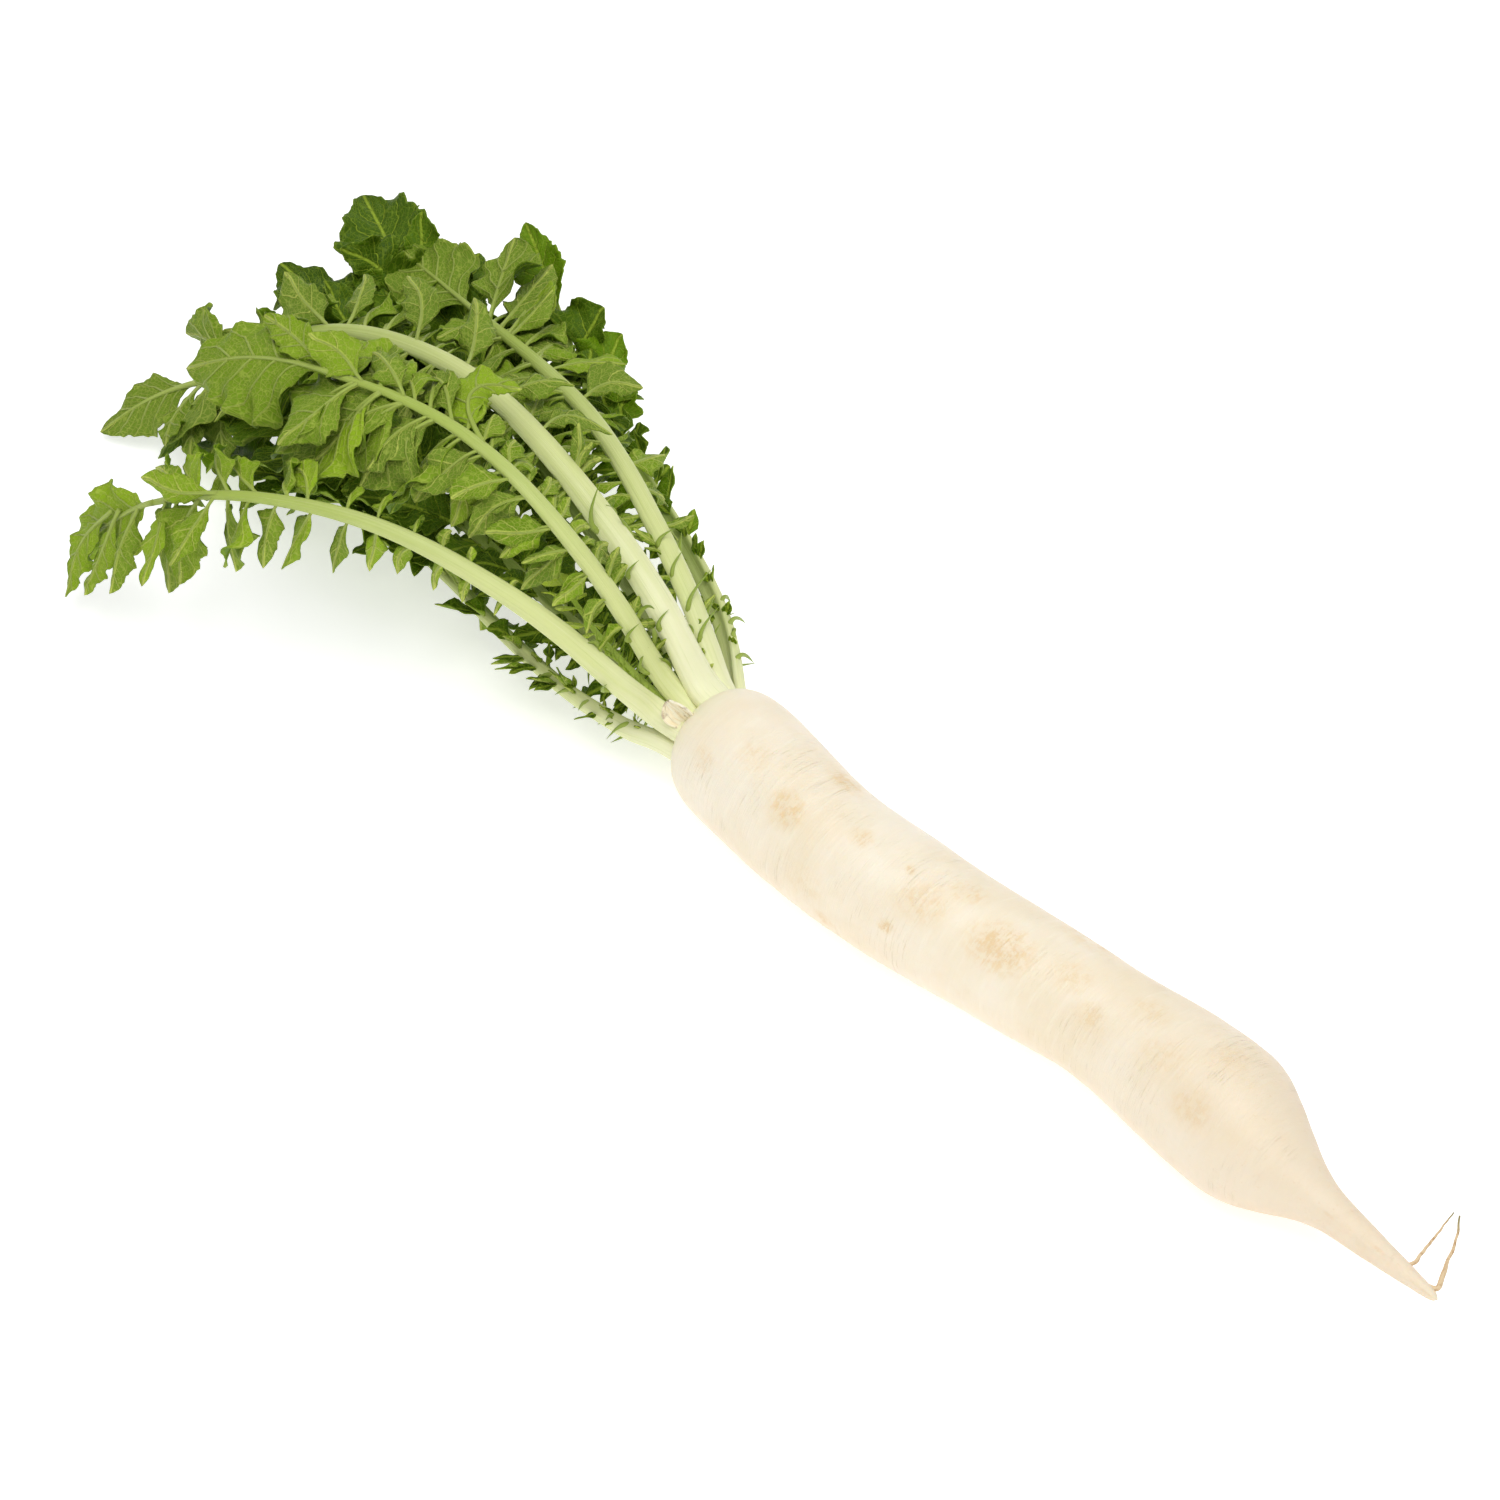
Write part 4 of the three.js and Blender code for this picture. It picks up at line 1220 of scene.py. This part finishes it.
def fill_blades(own):
    """Leaflets between the pairs of a frond."""
    frond = own["frond"]
    draws = Draws(frond["seed"] + FILL_BEND_SEED)
    step = (LAST_PLACE - frond["fill_from"]) / frond["pairs"]
    between = dict(frond, seed=frond["seed"] + FILL_SEED, first=frond["fill_from"] + step * 0.5,
                   leaflet=frond["leaflet"] * FILL_SIZE * frond["fill"])
    blades = []
    if not frond["fill"]:
        return blades
    for blade in grow_blades(between, own["route"], FILL_FIRST_LENGTH)[:-1]:
        bent = bend_blade(blade, draws.spread(FILL_DROOP), draws.spread(FILL_LIFT), 1)
        if blade_frame(bent, FILL_CHECKS)[0][:, 2].min() > FILL_FLOOR:
            blades.append(dict(bent, light=FILL_PAINTED_SHADE))
    return blades


# %% [markdown]
# ## Leaflets with a place of their own
#
# Some leaflets are too large or too oddly placed to be left to chance: those that hang in a
# cluster at the end of the nearest frond, those that cross over a neighbour's stalk, and the
# broad dark ones at the far edge. Each is described in the same terms as the rest. A nest of
# small leaflets, whose places are drawn, crowds round the feet of most fronds, and is
# thickest round those that lie underneath. They are painted dark, as painted shade, since they sit
# deep among the stalks. On the high frond a few leaflets sag, several are shorter than they grew,
# and two were lost.

# %% Leaflets placed one by one
# place along the stalk, hand, length, half width, slant, lift, droop, sway
OWN_PLACES = {
    "frond_near": [
        (0.84, -1, 38, 8, 35, -70, -0.3, -0.2), (0.85, 1, 36, 9, 65, -25, -0.1, 0),
        (0.96, 1, 36, 9, 75, -20, 0.3, -0.1), (1.03, 1, 46, 8, 55, -10, -0.1, -0.3),
        (1.08, 1, 56, 8, 40, -5, 0, -0.5), (1.1, 1, 58, 10, 28, -10, 0.4, -0.5),
        (0.93, -1, 24, 8, 75, 0, 1.0, 0.8),
    ],
    "frond_top": [
        (0.72, -1, 40, 10, 110, -20, 0.6, 1.2), (0.6, -1, 44, 11, 85, -50, 1.0, 0.8),
        (0.52, -1, 41, 10, 90, -40, 0.9, 1.2), (0.45, -1, 35, 11, 80, -45, 0.9, -1.2),
        (0.39, -1, 38, 9, 75, -40, 1.4, -1.0), (0.93, 1, 60, 14, 65, 5, -0.1, -0.4),
        (0.97, 1, 50, 12, 50, -15, 0.1, -0.7), (0.88, 1, 52, 14, 70, 40, -0.1, 0.3),
        (0.99, 1, 52, 11, 50, -35, 0.2, -1.0), (0.75, -1, 39, 14, 50, -55, 0.2, 0.1),
    ],
    "frond_high": [
        (0.66, -1, 79, 12, 25, 15, 0, -1.6), (0.73, -1, 44, 10, 35, 0, 1.0, -0.1),
        (0.83, -1, 40, 9, 45, -20, 1.2, 0.2), (0.92, -1, 34, 12, 25, -45, -0.2, 0),
        (1.0, -1, 50, 10, 25, -15, 0.4, 0),
    ],
    "frond_far": [
        (0.8, 1, 26, 12, 135, 40, 0.5, 1.2), (0.72, -1, 32, 13, 90, -5, 0.3, -1.0),
        (0.62, -1, 32, 13, 80, -30, 0.8, -0.7), (0.86, -1, 32, 14, 80, -15, 0.2, 0),
        (0.9, 1, 26, 12, 125, 25, 0, 1.0), (0.95, 1, 26, 12, 95, -25, -0.2, 0.1),
        (0.9, -1, 44, 15, 75, -5, 0.2, 0.3),
    ],
    "frond_under": [
        (0.95, -1, 50, 17, 20, 45, -0.3, -0.5), (0.98, 1, 42, 15, 25, 5, 0, -0.1),
        (0.9, 1, 51, 17, 70, 15, 0.6, 0.4), (0.97, -1, 52, 17, 40, 55, 0.2, -0.3),
        (0.93, -1, 66, 17, 25, 75, 0.3, -0.4),
    ],
    "frond_back": [
        (0.97, -1, 54, 17, 25, 72, 0, -0.3),
    ],
}
OWN_SEED = 300
OWN_ROLL, OWN_TWIST = 12, 30

# %% A nest of small leaflets
NEST_SEED = 1700
NEST_PLACES = (0.05, 0.36)
NEST_LENGTHS = (12, 34)
NEST_HALF = 0.2
NEST_SLANT, NEST_SLANT_SPREAD = 45, 40
NEST_LIFT, NEST_DROOP, NEST_SWAY = 55, 0.3, 0.5
# painted shade: the nest's leaflets are made darker, as they sit deep among the stalks
NEST_PAINTED_SHADE = 0.35

# how many there are, and how long they are to either side
tell_fronds("nest nest_reach", [
    (5, (0.7, 0.7)),  # top
    (0, (0, 0)),  # near
    (6, (0.6, 0.8)),  # high
    (6, (0.7, 0.5)),  # far
    (0, (0, 0)),  # side
    (20, (0.5, 0)),  # low
    (0, (0, 0)),  # young
    (30, (1.0, 0.6)),  # under
    (24, (0.0, 1.0)),  # back
    (40, (0.6, 1.0)),  # inner
])


def nest_rows(frond):
    """Small dark leaflets that crowd round the foot of a frond."""
    draws = Draws(frond["seed"] + NEST_SEED)
    shortest, longest = NEST_LENGTHS
    rows = []
    for number in range(frond["nest"]):
        share = draws.next()
        place = NEST_PLACES[0] + (NEST_PLACES[1] - NEST_PLACES[0]) * share
        hand = 1 if frond["nest_reach"][0] == 0 or number % 2 and frond["nest_reach"][1] else -1
        length = (shortest + (longest - shortest) * share) * (0.7 + 0.5 * draws.next())
        length *= frond["nest_reach"][0 if hand < 0 else 1]
        slant = NEST_SLANT + NEST_SLANT_SPREAD * draws.next()
        rows.append((place, hand, length, length * NEST_HALF, slant, draws.spread(NEST_LIFT),
                     NEST_DROOP * draws.next(), draws.spread(NEST_SWAY)))
    return rows


# %% Bending them in place
# on the high frond, by the leaflets' numbers
SAGGED = {14: 1.2, 18: 1.2, 22: 1.0}
SHORTENED, SHORTENED_SIZE = (8, 10, 12, 14, 16, 18, 34, 36, 38, 40, 42, 46, 48), 0.62
LEFT_OUT = (44, 50)


def own_blades(own):
    """The leaflets of a frond that are listed one by one, and its nest."""
    frond = own["frond"]
    draws = Draws(frond["seed"] + OWN_SEED)
    blades = []
    by_hand = OWN_PLACES.get(frond["name"], [])
    for number, row in enumerate(by_hand + nest_rows(frond)):
        place, hand, length, half, slant, lift, droop, sway = row
        share = min(1.0, place)
        point, along, face, side = (row[0] for row in own["route"].at([share]))
        width = half_width_at(frond, [share])[0]
        foot = point + along * (place - share) * own["route"].length
        foot = foot + side * (hand * BLADE_ROOT[0] * width)
        roll = math.radians(draws.spread(OWN_ROLL))
        twist = math.radians(draws.spread(OWN_TWIST))
        bent = bend_blade(dict(
            hand=hand, foot=foot, along=along, face=face, side=side, length=length,
            half=half / frond["breadth"], slant=math.radians(slant), lift=math.radians(lift),
            roll=roll, twist=twist, droop=droop, sway=sway, phase=draws.next() * TURN), 0, 0, 1)
        if number < len(by_hand):
            blades.append(bent)
        elif blade_frame(bent, FILL_CHECKS)[0][:, 2].min() > FILL_FLOOR:
            blades.append(dict(bent, light=NEST_PAINTED_SHADE))
    return blades


def numbered_blades(own):
    """All the leaflets of a frond with their numbers, which their own draws depend on."""
    blades = list(enumerate(own["placed"] + fill_blades(own) + own_blades(own)))
    if own["frond"]["name"] != "frond_high":
        return blades
    for number, blade in blades:
        size = SHORTENED_SIZE if number in SHORTENED else 1
        blade["bend"] = blade["bend"] - np.array([0, 0, SAGGED.get(number, 0)])
        blade["length"] *= size
        blade["half"] *= size
    return [(number, blade) for number, blade in blades if number not in LEFT_OUT]


# %% [markdown]
# ## Ribs, side veins and hooks
#
# Under each leaflet runs its rib, a pale cord that is thick at the foot and thins to the tip.
# Large leaves also show raised side veins beneath. Near the crown a frond bears small curved
# hooks along both edges of its stalk, leaflets that never grew on. They rise along the stalk and
# curl over its back. All of these are cords: one function rolls a tube round any path, so a rib,
# a vein and a hook differ only in their paths, their radii and how flat they are.

# %% A cord
CORD_SHARE, CORD_SHARE_OVER = 0.75, 0.25


def add_cord(bm, path, raised, radii, sides, layers, tone, flatness=1.0):
    """A thin tube round a path of points, with a radius at each of them."""
    steps = len(path) - 1
    along = unit(np.gradient(path, axis=0))
    side = unit(np.cross(along, raised))
    face = np.cross(side, along)

    def round_at(angles, shares):
        row = np.rint(shares * steps).astype(int)
        reach = side[row] * np.sin(angles)[:, None] + face[row] * flatness * np.cos(angles)[:, None]
        return path[row] + reach * radii[row][:, None]

    def store(verts, angles, shares):
        for vert, angle, share in zip(verts, angles, shares):
            vert[layers["round"]] = (math.sin(angle), math.cos(angle), share * steps)
            vert[layers["run"]] = (CORD_SHARE + CORD_SHARE_OVER * share, tone, 0)

    roll_tube(bm, sides, steps, round_at, store)


# %% Ribs and side veins
RIB_SIDES = 7
LEAST_RIB_STEPS, ROWS_PER_RIB_STEP = 8, 3
RIB_END = 0.97
RIB_BASE = 0.42
RIB_PER_LENGTH = 0.0115
RIB_TAPER, RIB_TIP = 0.86, 0.06
RIB_SUNK = 0.55
VEIN_SIDES, VEIN_STEPS = 5, 14
VEIN_FROM, VEIN_TO = 0.02, 0.93
VEINS_FROM, VEINS_TO = 0.1, 0.99
VEIN_BASE, VEIN_PER_LENGTH, VEIN_TAPER = 0.30, 0.004, 0.75
VEIN_SUNK, VEIN_SUNK_MORE = 0.6, 0.1


def add_rib(bm, leaf, layers, tone, start_radius=None):
    """The cord under a leaflet's middle line."""
    steps = max(LEAST_RIB_STEPS, leaf["rows"] // ROWS_PER_RIB_STEP)
    shares = np.linspace(0, RIB_END, steps + 1)
    base = start_radius or RIB_BASE + RIB_PER_LENGTH * leaf["length"]
    radii = base * (1 - RIB_TAPER * shares ** 0.8) + RIB_TIP
    middle, aside, raised = blade_frame(leaf, shares)
    path = leaf_points(leaf, shares, np.zeros(len(shares))) - raised * (radii * RIB_SUNK)[:, None]
    add_cord(bm, path, raised, radii, RIB_SIDES, layers, tone)


def add_side_veins(bm, leaf, layers, tone):
    """Cords along the side veins of a large leaf."""
    across = np.linspace(VEIN_FROM, VEIN_TO, VEIN_STEPS)
    radii = (VEIN_BASE + VEIN_PER_LENGTH * leaf["length"]) * (1 - VEIN_TAPER * across)
    for hand in (-1, 1):
        shift = leaf["shift"][1 if hand > 0 else 0]
        for vein in range(leaf["teeth"] + 1):
            run = vein + TOOTH_PEAK + vein_lead(leaf) * (across - 1) - shift
            shares = TEETH_START + (1 - TEETH_START) * run / leaf["teeth"]
            if shares[0] < VEINS_FROM or shares[-1] > VEINS_TO:
                continue
            middle, aside, raised = blade_frame(leaf, shares)
            sunk = raised * (radii * VEIN_SUNK + VEIN_SUNK_MORE)[:, None]
            path = leaf_points(leaf, shares, across * hand) - sunk
            add_cord(bm, path, raised, radii, VEIN_SIDES, layers, tone)


# %% Hooks along the stalk
HOOK_STEPS = 9
HOOK_FLATNESS = 0.7
HOOK_CURL = 0.46
HOOK_GREEN = 0.4
HOOK_SEED = 7
HOOKS_FROM, HOOKS_FROM_SHARE = 32, 0.12
HOOKS_TO_SHARE, HOOKS_YOUNG = 0.3, 2.2
HOOK_FOOT = 0.8
HOOK_TIP = 0.07
HOOK_ABOVE_FLOOR = 0.3

# how far apart the hooks are, how long and how thick they are, and how steeply they rise
tell_fronds("hook_gap hook_reach hook_thickness hook_rise", [
    (19, 16, 1.5, 1.1),  # top
    (120, 12, 1.5, 1.1),  # near
    (15, 17, 1.5, 1.1),  # high
    (15, 17, 1.5, 1.1),  # far
    (11, 13, 1.5, 1.1),  # side
    (11, 9, 1.5, 0.8),  # low
    (2.0, 8, 0.55, 0.3),  # young
    (6, 12, 1.3, 0.3),  # under
    (6, 12, 1.3, 0.3),  # back
    (4.5, 13, 1.1, 0.3),  # inner
])


def add_hooks(bm, grown_frond, layers):
    """Curved, flattened hooks along both edges of the bare part of a stalk."""
    frond, route = grown_frond["frond"], grown_frond["route"]
    gap, rise = frond["hook_gap"], frond["hook_rise"]
    draws = Draws(frond["seed"] + HOOK_SEED)
    bare = max(HOOKS_TO_SHARE, frond["first"]) * route.length
    bare = bare * (HOOKS_YOUNG if frond["name"] == "frond_young" else 1)
    for hand in (-1, 1):
        walked = min(HOOKS_FROM, HOOKS_FROM_SHARE * route.length) + draws.next() * gap
        while walked < bare:
            share = walked / route.length
            point, along, face, side = (row[0] for row in route.at([share]))
            half = half_width_at(frond, [share])[0]
            length = frond["hook_reach"] * (0.6 + 0.7 * draws.next()) * (0.6 + 0.4 * walked / bare)
            lead = unit(side * hand + along * (rise + draws.spread(0.4)) + face * draws.spread(0.3))
            shares = np.linspace(0, 1, HOOK_STEPS + 1)[:, None]
            curl = along * draws.spread(0.3) - face * (0.7 + draws.spread(0.4))
            curl = curl - side * hand * HOOK_CURL * (1 + rise)
            foot = point + side * hand * half * HOOK_FOOT
            path = foot + (lead * shares + curl * shares ** 2) * length
            radii = (frond["hook_thickness"] * (1 - shares ** 1.8) + HOOK_TIP).ravel()
            walked += gap * (0.6 + 0.8 * draws.next())
            if path[:, 2].min() < frond["hook_thickness"] + HOOK_ABOVE_FLOOR:
                continue
            add_cord(bm, path, along, radii, RIB_SIDES, layers, HOOK_GREEN, HOOK_FLATNESS)


# %% [markdown]
# ## The stalks' finish
#
# Stalks are nearly white at the crown, pass through pale yellow-green, and are green at the end.
# Fibres show as fine lengthwise streaks. The groove is darker and greener than the round back.

# %% Stalk finish
FINE_RELIEF = 0.0006


def stalk_finish(name, white, pale, green, groove):
    """A stalk's material from its four colours."""
    paint = Finish(name)
    sine, cosine, walked = paint.parts(paint.grown("round"))
    share, tone = paint.parts(paint.grown("run"))[:2]
    place = paint.join(sine * 3.2, cosine * 3.2, walked * 0.012)
    streak = paint.cloud(place, 1.0, 4, 0.6)
    fine = paint.cloud(paint.join(sine * 9, cosine * 9, walked * 0.02), 1.0, 3, 0.6)
    blotch = paint.cloud(paint.place(), 38, 3)
    greening = share + tone + (streak - 0.5) * 0.22 + (blotch - 0.5) * 0.12
    shade = paint.mix(white, pale, paint.step(greening, 0.06, 0.34))
    shade = paint.mix(shade, green, paint.step(greening, 0.34, 0.95))
    shade = paint.mix(shade, groove, paint.step(greening, 1.1, 1.6))
    in_groove = paint.step(cosine + (fine - 0.5) * 0.5, 0.25, 0.95)
    shade = paint.mix(shade, groove, in_groove * paint.step(share, 0.05, 0.5) * 0.6)
    shade = paint.mix(shade, green, paint.step(fine, 0.56, 0.74) * 0.3)
    shade = paint.mix(shade, white, paint.step(1 - fine, 0.56, 0.74) * 0.22)
    relief = streak * 0.5 + fine * 0.5
    paint.wear(shade, 0.42 + fine * 0.15, relief, FINE_RELIEF)
    paint.flesh(0.12, 0.003, (0.8, 1.0, 0.35))
    return paint.material


STALK = stalk_finish(
    "stalk", white=colour(240, 240, 198), pale=colour(214, 221, 150), green=colour(166, 186, 78),
    groove=colour(128, 156, 44))
STALK_YOUNG = stalk_finish(
    "stalk_young", white=colour(226, 236, 160), pale=colour(200, 222, 100), green=colour(176, 206, 62),
    groove=colour(160, 186, 60))
print("stalk finishes:", STALK.name, "and", STALK_YOUNG.name)

# %% [markdown]
# ## The leaves' finish
#
# The upper side is a saturated green with sunken, paler veins. The underside is duller and
# greyer, with veins that stand out. Both read their place on the leaf, in millimetres from the
# rib and along it, so the veins follow every fold. The finest net is a pattern of cell borders.

# %% Leaf finishes


def leaf_finish(name, dark, light, vein, dull, under):
    """One side of a leaf: its greens, its vein colour, and whether it is the underside."""
    paint = Finish(name)
    gap, along, run = paint.parts(paint.grown("leaf"))
    tone, edge, spacing = paint.parts(paint.grown("tint_and_shade"))
    dullness = paint.parts(paint.grown("mood"))[0]
    space = paint.place()
    flat = paint.join(gap, along, 0.0)
    wobble = (paint.cloud(flat, 0.25, 2) - 0.5) * 0.14
    away = paint.maths("ABSOLUTE", gap)

    def off_whole(count):
        """How far a count is from the nearest whole number."""
        return paint.maths("ABSOLUTE", paint.maths("FRACT", count + 0.5) - 0.5)

    counted = run + wobble
    to_vein = off_whole(counted) * spacing
    to_small = off_whole(counted * 3.0) * spacing * 0.34
    thin = 1 - edge * 0.65
    rib_mask = 1 - paint.step(away, 0.35, 1.15)
    vein_mask = (1 - paint.step(to_vein, 0.18, 0.75)) * thin * paint.step(spacing, 3, 8)
    small_mask = (1 - paint.step(to_small, 0.05, 0.5)) * thin * 0.55
    net = paint.cracks(paint.stretch(flat, (1.0, 0.8, 1.0)), 0.55)
    net_mask = 1 - paint.step(net, 0.02, 0.12)
    mottle = paint.cloud(flat, 0.16, 4, 0.6)
    grain = paint.cloud(flat, 1.6, 2, 0.5)
    patch = paint.cloud(space, 24, 2)
    veins = paint.maths("MAXIMUM", rib_mask, paint.maths("MAXIMUM", vein_mask, small_mask * 0.8))
    # tone holds painted shade: the fronds that lie underneath and inside, and the leaflets between the
    # pairs and in the nest, are darker
    lightness = mottle * 0.3 + tone * 0.7 + (patch - 0.5) * 0.4
    shade = paint.mix(dark, light, paint.step(lightness, 0.12, 0.75))
    shade = paint.mix(shade, dull, paint.step(patch * 0.5 + dullness, 0.35, 1.15))
    shade = paint.mix(shade, vein, net_mask * (0.30 if under else 0.22))
    shade = paint.mix(shade, vein, small_mask * 0.6)
    shade = paint.mix(shade, vein, vein_mask * 0.85)
    shade = paint.mix(shade, vein, rib_mask * 0.9)
    shade = paint.mix(shade, vein, paint.step(edge, 0.94, 1.0) * 0.25)
    up = 1.0 if under else -1.0
    relief = (vein_mask * 0.8 + small_mask * 0.5 + net_mask * 0.35 + rib_mask * 0.6) * up + grain * 0.2
    roughness = (0.55 if under else 0.42) + grain * 0.15 - veins * 0.05
    paint.wear(shade, roughness, relief, FINE_RELIEF)
    paint.shader.inputs["Specular IOR Level"].default_value = 0.14
    return paint.material


UPPER = leaf_finish(
    "leaf_upper", dark=colour(56, 84, 2), light=colour(104, 142, 6), vein=colour(158, 182, 54),
    dull=colour(74, 104, 14), under=False)
UNDER = leaf_finish(
    "leaf_under", dark=colour(96, 128, 14), light=colour(142, 174, 32), vein=colour(196, 208, 98),
    dull=colour(110, 136, 40), under=True)
UPPER_YOUNG = leaf_finish(
    "leaf_upper_young", dark=colour(150, 184, 26), light=colour(186, 218, 44),
    vein=colour(216, 230, 100), dull=colour(170, 196, 52), under=False)
UNDER_YOUNG = leaf_finish(
    "leaf_under_young", dark=colour(160, 190, 48), light=colour(194, 220, 70),
    vein=colour(216, 230, 116), dull=colour(176, 198, 70), under=True)
print("leaf finishes: an upper side and an underside, each in a grown and a young green")

# %% [markdown]
# ## Building the fronds
#
# Each frond becomes two pieces: its stalk with the hooks, ribs and side veins, and its leaflets.
# They are kept apart because leaflets are sheets that need thickness and two sides' finishes,
# and the stalk is already a closed tube.

# %% Build the fronds
END_RIB = 0.46
LARGE_LEAF = 44


def vert_layers(bm, *names):
    """Places on a mesh's corners for what a finish needs to know."""
    return {name: bm.verts.layers.float_vector.new(name) for name in names}


for own in grown:
    frond = own["frond"]
    young = frond["name"] == "frond_young"
    leaves = [dress_blade(blade, frond, number) for number, blade in numbered_blades(own)]

    bm = bmesh.new()
    layers = vert_layers(bm, "round", "run")
    stalk_tube(bm, own, layers)
    add_hooks(bm, own, layers)
    for leaf in leaves:
        ending = leaf["hand"] == 0
        add_rib(bm, leaf, layers, frond["green"], frond["width"][3] * END_RIB if ending else None)
        if leaf["length"] > LARGE_LEAF:
            add_side_veins(bm, leaf, layers, frond["green"])
    finish_piece(frond["name"] + "_stalk", bm, [frond["name"]], [STALK_YOUNG if young else STALK])

    bm = bmesh.new()
    layers = vert_layers(bm, "leaf", "tint_and_shade", "mood")
    for leaf in leaves:
        add_leaf(bm, leaf, layers)
    sides = [UPPER_YOUNG, UNDER_YOUNG] if young else [UPPER, UNDER]
    piece = finish_piece(frond["name"] + "_leaflets", bm, [frond["name"]], sides)
    thicken(piece, BLADE_THICKNESS).material_offset = 1

# %% [markdown]
# ## The husk
#
# A leaf base from the spring stands dried out on the crown's rim. It is a curled, papery scale,
# beige with brown lengthwise fibres and a torn, darker end. It is drawn as one more blade, with
# noise instead of teeth, so that it bends and stands as the leaflets do.

# %% Husk
HUSK = dict(
    foot=np.array([-39.6, -9, 46]), lead=unit(np.array([-0.5, -0.45, 0.74])),
    face=unit(np.array([0.3, -0.9, 0.3])), twist=0.0, length=15, half=7)
HUSK["bend"] = HUSK["lead"] * -0.3
HUSK_COLUMNS, HUSK_ROWS = 30, 44
HUSK_TEAR, HUSK_TEARS = 3.2, 3.1
HUSK_CUP = 0.55
HUSK_CREASE = 1.1
HUSK_CREASES_ACROSS, HUSK_CREASES_ALONG = 5, 1.5
HUSK_THICKNESS = 0.6


def husk_points(shares, across):
    """The scale curls round its length, and its end is torn."""
    middle, aside, raised = blade_frame(HUSK, shares)
    torn = np.array([noise.noise(Vector((side * HUSK_TEARS, 4, 0))) for side in across])
    middle = middle + HUSK["lead"] * (torn * HUSK_TEAR * shares ** 2)[:, None]
    reach = HUSK["half"] * (0.55 + 0.45 * np.sin(math.pi * np.minimum(1, shares * 0.8 + 0.18)))
    reach = reach * (1 - shares ** 6 * 0.5)
    crease = np.array([
        noise.noise(Vector((side * HUSK_CREASES_ACROSS, share * HUSK_CREASES_ALONG, 9)))
        for side, share in zip(across, shares)])
    height = reach * HUSK_CUP * across ** 2 + crease * HUSK_CREASE
    return middle + aside * (reach * across)[:, None] + raised * height[:, None]


paint = Finish("dry_scale")
side, share = paint.parts(paint.grown("leaf"))[:2]
fibre = paint.cloud(paint.join(side * 9, share * 1.2, 0.0), 1.0, 4, 0.6)
stain = paint.cloud(paint.place(), 260, 3)
shade = paint.mix(colour(255, 250, 226), colour(246, 228, 184), paint.step(fibre, 0.42, 0.68))
shade = paint.mix(shade, colour(140, 100, 56), paint.step(stain + share * 0.16, 0.62, 0.78) * 0.5)
paint.wear(shade, 0.75 + fibre * 0.15, fibre, FINE_RELIEF)

bm = bmesh.new()
layers = vert_layers(bm, "leaf")
verts, across, shares = flat_grid(bm, HUSK_COLUMNS, HUSK_ROWS)
put_points(verts, husk_points(shares, across))
for vert, side_of, share_of in zip(verts, across, shares):
    vert[layers["leaf"]] = (side_of, share_of, 0)
thicken(finish_piece("husk", bm, ["crown_husk"], [paint.material]), HUSK_THICKNESS)

# %% [markdown]
# ## Counting the triangles
#
# The triangles are counted as they'll be drawn, with every sheet's thickness.

# %% Count the triangles
views = bpy.context.evaluated_depsgraph_get()
triangles = 0
for thing in bpy.context.scene.objects:
    if thing.type == "MESH" and thing.visible_get():
        shown = thing.evaluated_get(views).to_mesh()
        triangles += sum(len(face.vertices) - 2 for face in shown.polygons)
print("triangles in all:", triangles)
